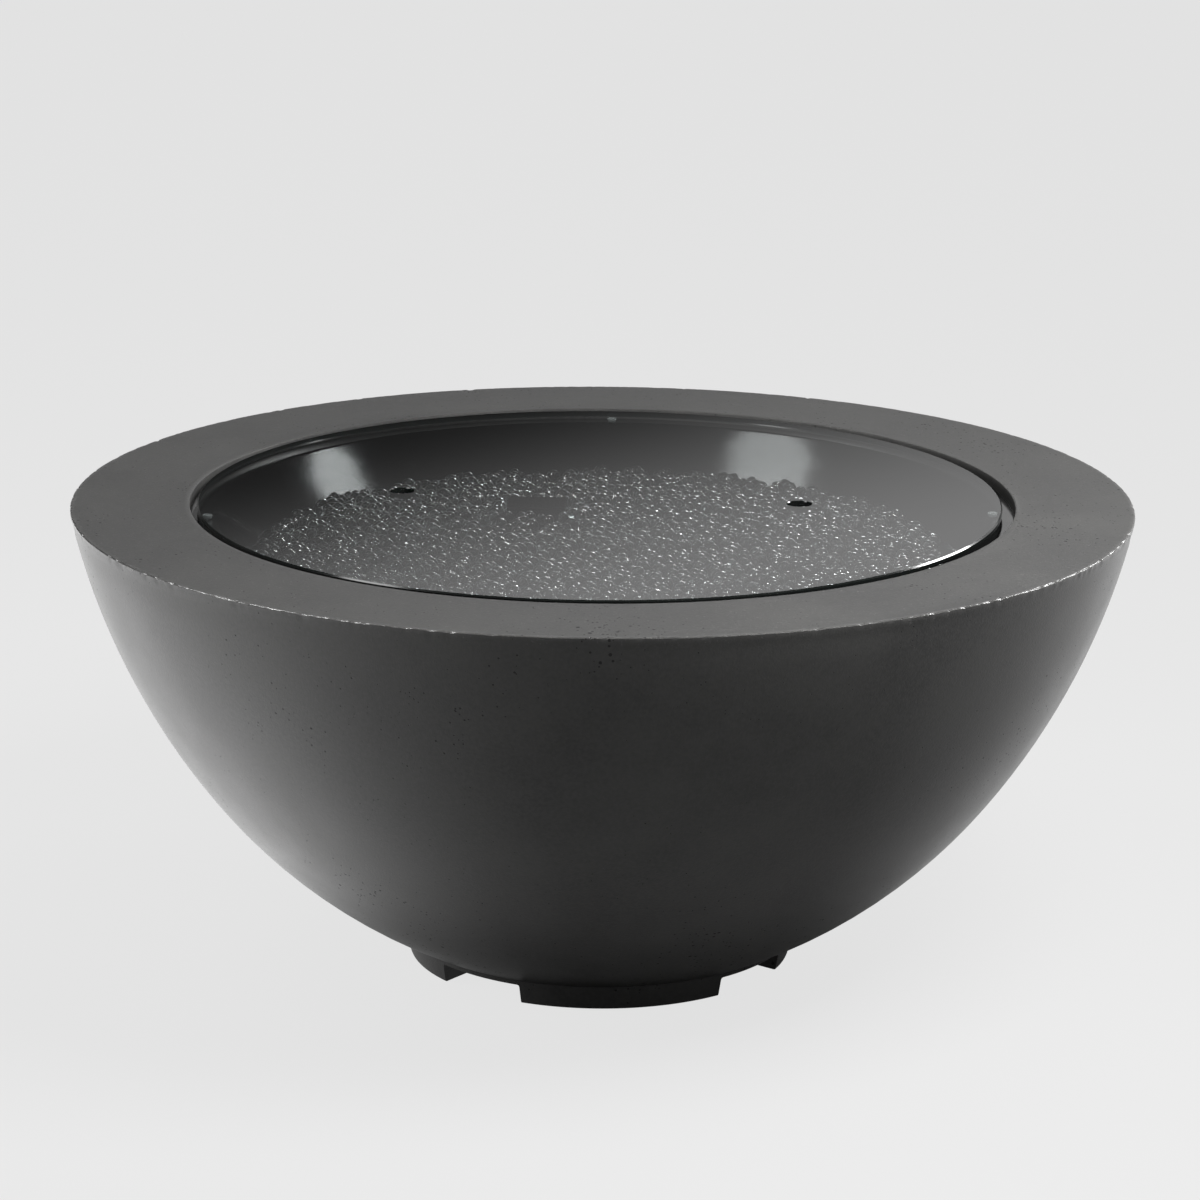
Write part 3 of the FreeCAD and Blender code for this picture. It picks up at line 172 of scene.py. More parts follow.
def makeWorld():
    world = bpy.data.worlds.new("studioWorld")
    bpy.context.scene.world = world
    world.use_nodes = True
    tree = world.node_tree
    tree.nodes.clear()
    rays = addNode(tree, "ShaderNodeLightPath")
    way = addNode(tree, "ShaderNodeTexCoord").outputs["Generated"]
    x, y, z = addNode(tree, "ShaderNodeSeparateXYZ", {0: way}).outputs
    side = addNode(tree, "ShaderNodeMath", {0: x, 1: y}, operation="ARCTAN2")   # 0 behind
    # the card behind brightens upwards and to the right
    lean = addNode(tree, "ShaderNodeMath", {0: side, 1: 0.24, 2: z}, operation="MULTIPLY_ADD")
    low, span = studio["cardLow"], studio["cardSpan"]
    card = addNode(tree, "ShaderNodeMapRange", {
        "Value": lean, "From Min": low + span * 0.25, "From Max": low + span * 1.65,
        "To Max": studio["cardStrength"]}, interpolation_type="SMOOTHSTEP")
    top = addNode(tree, "ShaderNodeMapRange", {
        "Value": z, "From Min": 0.30, "From Max": 0.55, "To Min": 1.0, "To Max": 0.0},
        interpolation_type="SMOOTHSTEP")
    right = addNode(tree, "ShaderNodeMapRange", {
        "Value": side, "From Min": 0.5, "From Max": 1.1, "To Min": 1.0, "To Max": 0.1},
        interpolation_type="SMOOTHSTEP")
    left = addNode(tree, "ShaderNodeMapRange", {
        "Value": side, "From Min": -0.9, "From Max": -0.3}, interpolation_type="SMOOTHSTEP")
    glow = addNode(tree, "ShaderNodeMath", {0: card, 1: top}, operation="MULTIPLY")
    glow = addNode(tree, "ShaderNodeMath", {0: glow, 1: right}, operation="MULTIPLY")
    glow = addNode(tree, "ShaderNodeMath", {0: glow, 1: left}, operation="MULTIPLY")
    high = addNode(tree, "ShaderNodeMapRange", {
        "Value": z, "From Min": 0.275, "From Max": 0.36}, interpolation_type="SMOOTHSTEP")
    turn = addNode(tree, "ShaderNodeMapRange", {
        "Value": side, "From Min": -0.1, "From Max": 0.5, "To Max": studio["upperCard"]},
        interpolation_type="SMOOTHSTEP")
    upper = addNode(tree, "ShaderNodeMath", {0: high, 1: turn}, operation="MULTIPLY")
    glow = addNode(tree, "ShaderNodeMath", {0: upper, 1: top, 2: glow}, operation="MULTIPLY_ADD")
    band = addNode(tree, "ShaderNodeMapRange", {
        "Value": z, "From Min": -0.03, "From Max": 0.19, "To Min": 0.3,
        "To Max": studio["ceiling"]}, interpolation_type="SMOOTHSTEP")
    glow = addNode(tree, "ShaderNodeMath", {0: glow, 1: band}, operation="ADD")
    covered = addNode(tree, "ShaderNodeMath", {0: rays.outputs["Transparent Depth"], 1: 0.5},
                      operation="GREATER_THAN")
    sharp = addNode(tree, "ShaderNodeMix", {0: covered, 2: glow, 3: studio["underCover"]},
                    data_type="FLOAT")
    soft = addNode(tree, "ShaderNodeMix", {0: rays.outputs["Is Diffuse Ray"], 2: sharp,
                                           3: studio["ambient"]}, data_type="FLOAT")
    level = addNode(tree, "ShaderNodeMix", {
        0: rays.outputs["Is Camera Ray"], 2: soft, 3: colour(studio["background"])[0]},
        data_type="FLOAT")
    back = addNode(tree, "ShaderNodeBackground", {"Strength": level})
    addNode(tree, "ShaderNodeOutputWorld", {"Surface": back})


def makeFloor():
    size, z = studio["floorSize"], -studio["floorDrop"]
    floor = newPiece("studioFloor", [(-size, -size, z), (size, -size, z), (size, size, z),
                                     (-size, size, z)], [(0, 1, 2, 3)])
    material, tree, place = startMaterial("paleFloor")
    rays = addNode(tree, "ShaderNodeLightPath")
    seen = rays.outputs["Is Camera Ray"]
    pale = colour(studio["background"])
    bounce = [studio["floorBounce"]] * 3 + [1]
    paint = addNode(tree, "ShaderNodeMix", {0: seen, 6: bounce, 7: pale}, data_type="RGBA")
    diffuse = addNode(tree, "ShaderNodeBsdfDiffuse", {"Color": paint})
    # the floor that the bowl mirrors: pale to the left and behind, painted dark in front where
    # flags would stand, and painted darker near the foot as the bowl's shadow
    facing = addNode(tree, "ShaderNodeVectorRotate", {
        "Vector": place, "Angle": math.radians(view["turn"])}, rotation_type="Z_AXIS")
    x, y, z = addNode(tree, "ShaderNodeSeparateXYZ", {0: facing}).outputs
    left = addNode(tree, "ShaderNodeMath", {0: x, 1: -1.0}, operation="MULTIPLY")
    front = addNode(tree, "ShaderNodeMath", {0: y, 1: -1.0}, operation="MULTIPLY")
    around = addNode(tree, "ShaderNodeMath", {0: left, 1: front}, operation="ARCTAN2")
    share = addNode(tree, "ShaderNodeMapRange", {
        "Value": around, "From Min": -math.pi, "From Max": math.pi})
    ramp = addNode(tree, "ShaderNodeValToRGB", {0: share})
    stops = ramp.color_ramp.elements
    first = studio["mirrorAround"][0][1]
    stops[0].color = stops[1].color = (first, first, first, 1)
    for degrees, grey in studio["mirrorAround"][1:]:
        stops.new((degrees + 180) / 360).color = (grey, grey, grey, 1)
    near, far, least = studio["mirrorNear"]
    away = addNode(tree, "ShaderNodeVectorMath", {0: place}, operation="LENGTH").outputs["Value"]
    fade = addNode(tree, "ShaderNodeMapRange", {
        "Value": away, "From Min": near, "From Max": far, "To Min": least * studio["mirrorLevel"],
        "To Max": studio["mirrorLevel"]}, interpolation_type="SMOOTHSTEP")
    level = addNode(tree, "ShaderNodeMath", {0: ramp, 1: fade}, operation="MULTIPLY")
    level = addNode(tree, "ShaderNodeMix", {0: seen, 2: level, 3: studio["glowLevel"]},
                    data_type="FLOAT")
    glow = addNode(tree, "ShaderNodeEmission", {"Color": pale, "Strength": level})
    mirrored = addNode(tree, "ShaderNodeMath", {
        0: rays.outputs["Is Glossy Ray"], 1: rays.outputs["Is Transmission Ray"]},
        operation="MAXIMUM")
    factor = addNode(tree, "ShaderNodeMath", {0: seen, 1: studio["floorGlow"], 2: mirrored},
                     operation="MULTIPLY_ADD")
    surface = addNode(tree, "ShaderNodeMixShader", {0: factor, 1: diffuse, 2: glow})
    addNode(tree, "ShaderNodeOutputMaterial", {"Surface": surface})
    floor.data.materials.append(material)


# what the glint lamps may light: the beads, the bowl, or the bowl and the pane
receivers = {name: bpy.data.collections.new(name)
             for name in ("fireGlassOnly", "rimOnly", "edgesOnly")}


def makeLamps():
    for name, place, size, watts, meets in studio["boxes"] + studio["glints"]:
        lamp = bpy.data.lights.new(name, "AREA")
        lamp.shape = "RECTANGLE"
        lamp.size, lamp.size_y = size
        lamp.energy = watts
        box = bpy.data.objects.new(name, lamp)
        bpy.context.scene.collection.objects.link(box)
        aim = Vector((0, 0, 0.42)) - Vector(place)
        box.location = place
        box.rotation_euler = aim.to_track_quat("-Z", "Y").to_euler()
        box.visible_camera = False
        if meets in receivers:
            box.light_linking.receiver_collection = receivers[meets]
            meets = (0, 1, 1)
        box.visible_diffuse, box.visible_glossy, box.visible_transmission = meets


makeWorld()
makeFloor()
makeLamps()
bpy.context.scene.view_settings.view_transform = "Standard"
print("studio ready")


concreteLook = {
    "dark": "#333333", "pale": "#444443", "grain": "#504f4e", "dust": "#7b7a77",
    # the near-black hole colour: painted shade inside air holes too small to cut
    # the pale edge colour: partly wear, partly a painted highlight for the edge's glints
    "wornAndGlint": "#8a8987", "hole": "#121212",
    "dustFrom": 0.011,            # m below the rim's top where the dust starts
    "lowerShare": (0.26, 0.06),   # m, more air holes from this height down to that one
    "airHoles": [                 # cells in a metre, how rare, widest hole as a share of a cell
        (120.0, 0.88, 0.36),      # about 3 mm
        (250.0, 0.80, 0.42)],     # about 1.5 mm
}


def airHoles(tree, place, height):
    # thick in some places and rare in others, a few more on the rim and low on the body
    crowd = addNode(tree, "ShaderNodeTexNoise", {"Vector": place, "Scale": 8.0, "Detail": 2.0})
    share = addNode(tree, "ShaderNodeMapRange", {
        "Value": height, "From Min": rimTop - 0.006, "From Max": rimTop - 0.001,
        "To Min": -0.14, "To Max": -0.08})
    high, low = concreteLook["lowerShare"]
    lower = addNode(tree, "ShaderNodeMapRange", {"Value": height, "From Min": high,
                                                 "From Max": low, "To Max": 0.10})
    share = addNode(tree, "ShaderNodeMath", {0: share, 1: lower}, operation="ADD")
    crowd = addNode(tree, "ShaderNodeMath", {0: crowd, 1: 0.7, 2: share},
                    operation="MULTIPLY_ADD")
    masks = []
    for scale, rare, widest in concreteLook["airHoles"]:
        cells = addNode(tree, "ShaderNodeTexVoronoi", {"Vector": place, "Scale": scale})
        pick = addNode(tree, "ShaderNodeSeparateColor", {0: cells.outputs["Color"]})
        chance = addNode(tree, "ShaderNodeMath", {0: crowd, 1: pick}, operation="ADD")
        reach = addNode(tree, "ShaderNodeMapRange", {
            "Value": chance, "From Min": rare + 0.22, "From Max": rare + 0.62,
            "To Max": widest})
        inside = addNode(tree, "ShaderNodeMath", {0: reach, 1: cells.outputs["Distance"]},
                         operation="SUBTRACT")
        masks.append(addNode(tree, "ShaderNodeMapRange", {
            "Value": inside, "From Min": 0.0, "From Max": 0.06},
            interpolation_type="SMOOTHSTEP"))
    return addNode(tree, "ShaderNodeMath", {0: masks[0], 1: masks[1]}, operation="MAXIMUM")


def castConcrete():
    # charcoal cast concrete, sealed: satin face, cloudy greys, air holes painted dark inside as
    # painted shade, rubbed edge smoother and paler, its paleness partly wear and partly a painted
    # highlight
    look = concreteLook
    material, tree, place = startMaterial("castConcrete")
    height = addNode(tree, "ShaderNodeSeparateXYZ", {0: place}).outputs[2]
    cloud = addNode(tree, "ShaderNodeTexNoise", {"Vector": place, "Scale": 7.0, "Detail": 5.0,
                                                 "Roughness": 0.6})     # 14 cm clouds
    patch = addNode(tree, "ShaderNodeMapRange", {"Value": cloud, "From Min": 0.32,
                                                 "From Max": 0.68})
    grain = addNode(tree, "ShaderNodeTexNoise", {"Vector": place, "Scale": 260.0,
                                                 "Detail": 3.0})        # 4 mm grains
    grain = addNode(tree, "ShaderNodeMapRange", {"Value": grain, "From Min": 0.3,
                                                 "From Max": 0.7, "To Max": 0.35})
    # pale cement dust, specks of about 2 mm, thickest on the rim
    dust = addNode(tree, "ShaderNodeTexNoise", {"Vector": place, "Scale": 420.0, "Detail": 2.0})
    dust = addNode(tree, "ShaderNodeMapRange", {"Value": dust, "From Min": 0.64,
                                                "From Max": 0.74})
    level = addNode(tree, "ShaderNodeMapRange", {
        "Value": height, "From Min": rimTop - look["dustFrom"], "From Max": rimTop,
        "To Max": 0.55})
    dust = addNode(tree, "ShaderNodeMath", {0: dust, 1: level}, operation="MULTIPLY")
    rubAndGlint = addNode(tree, "ShaderNodeAttribute", attribute_name="edgeRubAndGlint").outputs["Fac"]
    # the rubbed edges are paler: partly wear, partly a painted highlight standing in for their
    # glints
    wornAndGlint = addNode(tree, "ShaderNodeMapRange", {"Value": rubAndGlint, "To Max": 0.22})
    holes = airHoles(tree, place, height)
    # the air holes are painted near-black: painted shade inside holes too small to cut, which the
    # bump also presses in
    shade = addNode(tree, "ShaderNodeMapRange", {"Value": holes, "To Max": 0.85})
    body = colour(look["dark"])
    for share, tone in ((patch, "pale"), (grain, "grain"), (dust, "dust"), (wornAndGlint, "wornAndGlint"),
                        (shade, "hole")):
        body = addNode(tree, "ShaderNodeMix", {0: share, 6: body, 7: colour(look[tone])},
                       data_type="RGBA")
    sheen = addNode(tree, "ShaderNodeMapRange", {"Value": cloud, "From Min": 0.3, "From Max": 0.7,
                                                 "To Min": 0.33, "To Max": 0.43})
    sheen = addNode(tree, "ShaderNodeMath", {0: holes, 1: 0.3, 2: sheen},
                    operation="MULTIPLY_ADD")
    sheen = addNode(tree, "ShaderNodeMath", {0: rubAndGlint, 1: -0.26, 2: sheen},
                    operation="MULTIPLY_ADD")
    relief = addNode(tree, "ShaderNodeTexNoise", {"Vector": place, "Scale": 520.0,
                                                  "Detail": 2.0})       # 2 mm skin
    # loose grit along the rubbed edge breaks its glints up
    grit = addNode(tree, "ShaderNodeTexNoise", {"Vector": place, "Scale": 420.0, "Detail": 2.0})
    grit = addNode(tree, "ShaderNodeMath", {0: grit, 1: rubAndGlint}, operation="MULTIPLY")
    for part, depth in ((cloud, 0.4), (holes, -4.0), (grit, 5.0)):
        relief = addNode(tree, "ShaderNodeMath", {0: part, 1: depth, 2: relief},
                         operation="MULTIPLY_ADD")
    bump = addNode(tree, "ShaderNodeBump", {"Height": relief, "Distance": 0.0003,
                                            "Strength": 0.6})
    endMaterial(tree, {"Base Color": body, "Roughness": sheen, "Normal": bump})
    return material


def brushedSteel(name, code, rough, lineAcross, dent=0.00006):
    # stainless sheet: fine brush lines, soft streaky mirror images
    material, tree, place = startMaterial(name)
    stretch = addNode(tree, "ShaderNodeMapping", {"Vector": place, "Scale": lineAcross})
    lines = addNode(tree, "ShaderNodeTexNoise", {"Vector": stretch, "Scale": 90.0,
                                                 "Detail": 4.0, "Roughness": 0.7})
    haze = addNode(tree, "ShaderNodeTexNoise", {"Vector": place, "Scale": 14.0, "Detail": 3.0})
    dark = [c * 0.82 for c in colour(code)[:3]] + [1]
    paint = addNode(tree, "ShaderNodeMix", {0: lines, 6: colour(code), 7: dark},
                    data_type="RGBA")
    level = addNode(tree, "ShaderNodeMath", {0: lines, 1: 0.08, 2: rough - 0.06},
                    operation="MULTIPLY_ADD")
    level = addNode(tree, "ShaderNodeMath", {0: haze, 1: 0.05, 2: level},
                    operation="MULTIPLY_ADD")
    bump = addNode(tree, "ShaderNodeBump", {"Height": lines, "Distance": dent, "Strength": 0.4})
    endMaterial(tree, {"Base Color": paint, "Roughness": level, "Metallic": 1.0, "Normal": bump})
    return material


def moulded(name, code, rough, grain, dent, second=None, metal=0.0):
    # moulded or cast face: fine grain of the tool, a little cloudiness
    material, tree, place = startMaterial(name)
    fine = addNode(tree, "ShaderNodeTexNoise", {"Vector": place, "Scale": 1.0 / grain,
                                                "Detail": 3.0})
    wide = addNode(tree, "ShaderNodeTexNoise", {"Vector": place, "Scale": 30.0, "Detail": 2.0})
    other = colour(second) if second else [min(1.0, c * 1.3) for c in colour(code)[:3]] + [1]
    paint = addNode(tree, "ShaderNodeMix", {0: wide, 6: colour(code), 7: other},
                    data_type="RGBA")
    level = addNode(tree, "ShaderNodeMath", {0: fine, 1: 0.12, 2: rough - 0.06},
                    operation="MULTIPLY_ADD")
    bump = addNode(tree, "ShaderNodeBump", {"Height": fine, "Distance": dent, "Strength": 0.5})
    endMaterial(tree, {"Base Color": paint, "Roughness": level, "Metallic": metal,
                       "Normal": bump})
    return material


def paneGlass():
    # flat tempered pane: seen straight through, mirrors the card behind at a low angle
    material, tree, place = startMaterial("temperedCoverGlass")
    smear = addNode(tree, "ShaderNodeTexNoise", {"Vector": place, "Scale": 9.0, "Detail": 3.0})
    tint = addNode(tree, "ShaderNodeMix", {0: smear, 6: colour("#ebeded"), 7: colour("#f2f3f3")},
                   data_type="RGBA")
    through = addNode(tree, "ShaderNodeBsdfTransparent", {"Color": tint})
    front = addNode(tree, "ShaderNodeFresnel", {"IOR": 1.9})     # both faces of the pane together
    back = addNode(tree, "ShaderNodeNewGeometry").outputs["Backfacing"]
    mirror = addNode(tree, "ShaderNodeMix", {0: back, 2: front, 3: 0.0}, data_type="FLOAT")
    gloss = addNode(tree, "ShaderNodeBsdfGlossy", {"Color": colour("#f4f4f4"), "Roughness": 0.02})
    both = addNode(tree, "ShaderNodeMixShader", {0: mirror, 1: through, 2: gloss})
    addNode(tree, "ShaderNodeOutputMaterial", {"Surface": both})
    return material


def endClear(tree, shader, shadowCode):
    # lamps reach through clear glass and rubber to what lies under it
    rays = addNode(tree, "ShaderNodeLightPath")
    through = addNode(tree, "ShaderNodeBsdfTransparent", {"Color": colour(shadowCode)})
    both = addNode(tree, "ShaderNodeMixShader", {0: rays.outputs["Is Shadow Ray"],
                                                 1: shader, 2: through})
    addNode(tree, "ShaderNodeOutputMaterial", {"Surface": both})


def clearTint(tree, place, code):
    # glass and rubber are a little paler here and there, over about 8 cm
    tint = addNode(tree, "ShaderNodeTexNoise", {"Vector": place, "Scale": 12.0, "Detail": 2.0})
    pale = [min(1.0, c * 1.05) for c in colour(code)[:3]] + [1]
    return addNode(tree, "ShaderNodeMix", {0: tint, 6: colour(code), 7: pale}, data_type="RGBA")


def fireGlass():
    # tumbled fire glass: mostly clear, so it sparkles, with a faint bloom of rubbed skin
    material, tree, place = startMaterial("tumbledFireGlass")
    rubbed = addNode(tree, "ShaderNodeBsdfPrincipled", {
        "Base Color": clearTint(tree, place, "#5c6060"), "Roughness": 0.30, "IOR": 1.47,
        "Transmission Weight": 1.0})
    clear = addNode(tree, "ShaderNodeBsdfPrincipled", {
        "Base Color": colour("#d3d6d6"), "Roughness": 0.02, "IOR": 1.5,
        "Transmission Weight": 1.0})
    both = addNode(tree, "ShaderNodeMixShader", {0: 0.6, 1: rubbed, 2: clear})
    endClear(tree, both, "#6d7070")
    return material


def softBumper():
    # clear silicone dots, a little milky, with an uneven skin of 3 mm ripples
    material, tree, place = startMaterial("clearSilicone")
    wave = addNode(tree, "ShaderNodeTexNoise", {"Vector": place, "Scale": 300.0, "Detail": 1.0})
    bump = addNode(tree, "ShaderNodeBump", {"Height": wave, "Distance": 0.0001, "Strength": 1.0})
    rubber = addNode(tree, "ShaderNodeBsdfPrincipled", {
        "Base Color": clearTint(tree, place, "#b4b8b7"), "Roughness": 0.22, "IOR": 1.41,
        "Transmission Weight": 0.55, "Normal": bump})
    endClear(tree, rubber, "#9fa2a2")
    return material


def shadedPaneEdge():
    # ground and polished edge of the pane, painted near-black as painted shade of the dark gap
    # beside it; its arris catches the lamps
    material, tree, place = startMaterial("paneEdgePaintedShade")
    grind = addNode(tree, "ShaderNodeTexNoise", {"Vector": place, "Scale": 300.0, "Detail": 2.0})
    # near-black: painted shade of the gap between the pane and the bowl
    paint = addNode(tree, "ShaderNodeMix", {0: grind, 6: colour("#101211"), 7: colour("#191c1b")},
                    data_type="RGBA")
    bump = addNode(tree, "ShaderNodeBump", {"Height": grind, "Distance": 0.00003,
                                            "Strength": 0.4})
    endMaterial(tree, {"Base Color": paint, "Roughness": 0.12, "IOR": 1.8, "Normal": bump})
    return material


concrete = castConcrete()
panSteel = brushedSteel("brushedPanSteel", "#707070", 0.12, (0.3, 0.3, 14.0), 0.00001)
tubeSteel = brushedSteel("heatTintedSteel", "#4a4744", 0.42, (1.0, 1.0, 5.0))
hoodSteel = brushedSteel("sootedHoodSteel", "#232323", 0.55, (1.0, 4.0, 1.0))
plateSteel = brushedSteel("brushedPlateSteel", "#9b9b99", 0.28, (0.2, 3.0, 8.0))
zinc = moulded("zincPlatedSteel", "#a6a7a3", 0.36, 0.0016, 0.00004, "#8d8e88", 1.0)
brass = brushedSteel("turnedBrass", "#b8934f", 0.26, (1.0, 1.0, 9.0))
castAluminium = moulded("castAluminium", "#a2a3a4", 0.48, 0.0012, 0.00012, "#909192", 0.9)
chrome = moulded("chromePlate", "#c9cacb", 0.10, 0.01, 0.00001, "#bfc0c2", 1.0)
blackPlastic = moulded("mouldedBlackPlastic", "#141414", 0.42, 0.0009, 0.00008, "#1b1b1b")
ceramic = moulded("aluminaCeramic", "#dcd8ce", 0.55, 0.0008, 0.00005, "#e6e3da")
silicone = moulded("greySilicone", "#a39e96", 0.5, 0.002, 0.00005)
copper = moulded("drawnCopper", "#a5643f", 0.32, 0.002, 0.00003, "#8c5233", 1.0)
coverGlass = paneGlass()
beadGlass = fireGlass()
paneEdgeShade = shadedPaneEdge()
bumperRubber = softBumper()
print("materials ready")


nearAxis = 0.00001      # m, where an outline ends on its axis; tidySkin closes it


def turned(name, outline, steps, shape=None):
    # outline: closed loop of (radius, height); shape: moves a point by its angle and place
    points, faces = [], []
    count = len(outline)
    for i in range(steps):
        angle = 2 * math.pi * i / steps
        for k, (r, z) in enumerate(outline):
            if shape:
                r, z = shape(k, angle, r, z)
            points.append((r * math.cos(angle), r * math.sin(angle), z))
    for i in range(steps):
        a, b = i * count, ((i + 1) % steps) * count
        for k in range(count):
            n = (k + 1) % count
            faces.append((a + k, b + k, b + n, a + n))
    piece = newPiece(name, points, faces)
    tidySkin(piece)
    return piece


def tidySkin(piece, merge=1e-5):
    work = bmesh.new()
    work.from_mesh(piece.data)
    bmesh.ops.remove_doubles(work, verts=work.verts, dist=merge)
    bmesh.ops.recalc_face_normals(work, faces=work.faces)
    work.to_mesh(piece.data)
    work.free()


def smooth(piece, angle=30):
    piece.data.polygons.foreach_set("use_smooth", [True] * len(piece.data.polygons))
    piece.data.set_sharp_from_angle(angle=math.radians(angle))


def finishPiece(piece, material, body, slotName, *replaced):
    piece.data.materials.clear()
    piece.data.materials.append(material)
    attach(piece, body)
    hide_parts(*replaced)


def arcPoints(start, end, radius, count, way=1):
    # points on an arc that bulges to the right of start to end for way 1
    (r0, z0), (r1, z1) = start, end
    length = math.hypot(r1 - r0, z1 - z0)
    rise = math.sqrt(radius * radius - length * length / 4)
    mr, mz = (r0 + r1) / 2, (z0 + z1) / 2
    nr, nz = (z1 - z0) / length * way, -(r1 - r0) / length * way
    cr, cz = mr - nr * rise, mz - nz * rise
    first, last = math.atan2(z0 - cz, r0 - cr), math.atan2(z1 - cz, r1 - cr)
    while last - first > math.pi:
        last -= 2 * math.pi
    while first - last > math.pi:
        last += 2 * math.pi
    return [(cr + radius * math.cos(first + (last - first) * i / count),
             cz + radius * math.sin(first + (last - first) * i / count))
            for i in range(count + 1)]


def filletPoints(corner, radius, wayIn, wayOut, count):
    # arc that rounds a corner between two directions
    half = math.acos(max(-1, min(1, -(wayIn[0] * wayOut[0] + wayIn[1] * wayOut[1])))) / 2
    reach = radius / math.tan(half)
    first = (corner[0] - wayIn[0] * reach, corner[1] - wayIn[1] * reach)
    last = (corner[0] + wayOut[0] * reach, corner[1] + wayOut[1] * reach)
    cross = wayIn[0] * wayOut[1] - wayIn[1] * wayOut[0]
    return arcPoints(first, last, radius, count, 1 if cross > 0 else -1)


def bowedPoints(start, end, bow, count):
    # points from after start to end, on a shallow curve that stands off the straight line by bow
    length = math.hypot(end[0] - start[0], end[1] - start[1])
    nr, nz = (start[1] - end[1]) / length, (end[0] - start[0]) / length
    points = []
    for i in range(1, count + 1):
        t = i / count
        out = 4 * t * (1 - t) * bow
        points.append((start[0] + (end[0] - start[0]) * t + nr * out,
                       start[1] + (end[1] - start[1]) * t + nz * out))
    return points


def boxPiece(name, low, high, corner, steps=5):
    # box whose edges along Y are rounded, for cutting
    w, h = (high[0] - low[0]) / 2, (high[2] - low[2]) / 2
    cx, cz = (high[0] + low[0]) / 2, (high[2] + low[2]) / 2
    ring = []
    for sx, sz, start in ((1, 1, 0), (-1, 1, 90), (-1, -1, 180), (1, -1, 270)):
        for i in range(steps + 1):
            a = math.radians(start + 90 * i / steps)
            ring.append((cx + sx * (w - corner) + corner * math.cos(a),
                         cz + sz * (h - corner) + corner * math.sin(a)))
    points = [(x, low[1], z) for x, z in ring] + [(x, high[1], z) for x, z in ring]
    n = len(ring)
    faces = [tuple(range(n)), tuple(range(2 * n - 1, n - 1, -1))]
    faces += [(i, n + i, n + (i + 1) % n, (i + 1) % n) for i in range(n)]
    piece = newPiece(name, points, faces)
    tidySkin(piece)
    return piece


def finalMesh(piece):
    bpy.context.view_layer.update()
    graph = bpy.context.evaluated_depsgraph_get()
    return bpy.data.meshes.new_from_object(piece.evaluated_get(graph))


def combine(piece, other, operation="DIFFERENCE"):
    modifier = piece.modifiers.new("cut", "BOOLEAN")
    modifier.operation = operation
    modifier.solver = "EXACT"
    modifier.object = other
    made = finalMesh(piece)
    piece.modifiers.clear()
    old = piece.data
    piece.data = made
    bpy.data.meshes.remove(old)
    bpy.data.objects.remove(other)


bowl = {
    "steps": 1080,
    "rimRadius": 0.5335, "edge": 0.0016, "edgeSteps": 5, "wallEnd": 0.003,
    "nearEdge": (0.0105, 0.0065, 0.004, 0.0015), "wallLean": 0.29,
    "rimRadii": (0.5299, 0.528, 0.5245, 0.505, 0.475, 0.445, 0.421),
    "opening": 0.4145, "openingEdge": 0.0016, "openingBevel": 0.0005,
    "ledge": 0.464, "ledgeInner": 0.396, "topUnder": 0.444,
    "knee": (0.4065, 0.1945), "foot": (0.200, 0.0247),
    "lowerArc": 0.5623, "upperArc": 0.7107,
    "footRing": [(0.150, 0.022), (0.150, 0.0112), (0.150, 0.0), (0.172, 0.0), (0.194, 0.0),
                 (0.1954, 0.0006), (0.196, 0.002), (0.198, 0.0134)],
    "wall": 0.026,
    "innerFoot": 0.214, "innerKnee": (0.8, 0.6), "innerTop": 1.311,     # in walls
    "upperBow": 0.012, "lowerBow": 0.014,
    "floorTop": 0.050, "floorUnder": 0.022, "floorHole": 0.060,
    "notch": (0.098, 0.020, 0.002), "notchReach": 0.23,     # width, height, corner
    "panelPlane": 0.440, "panelHeight": 0.325, "past": 0.60,
    "niche": (0.170, 0.110, 0.012), "window": (0.120, 0.070, 0.008),    # width, height, corner
    "boss": (0.210, 0.150, 0.035), "bossBury": 0.010, "bossRows": 6, "bossColumns": 8,
    "nickSeed": 41,
    "nickGroups": [(46, -78, -22), (20, -160, -95), (29, 0, 360)],      # count, from, to in degrees
    "nickWidth": (0.0016, 0.0055), "nickDepth": (0.0004, 0.0017),
    "wearCoarse": (55, 0.0005), "wearFine": (190, 0.0006), "wearReach": 5.2,
    "rimWave": (9, 0.00025),
    "rubAndGlintReach": 0.004, "openingRubAndGlint": 0.3,
}


def edgeNicks():
    # small chips on the outer edge: more at the front right, as handling leaves them
    pick = random.Random(bowl["nickSeed"])
    nicks = []
    for count, first, last in bowl["nickGroups"]:
        for i in range(count):
            angle = math.radians(pick.uniform(first, last))
            width = pick.uniform(*bowl["nickWidth"]) / bowl["rimRadius"]
            nicks.append((angle % (2 * math.pi), width, pick.uniform(*bowl["nickDepth"])))
    return nicks


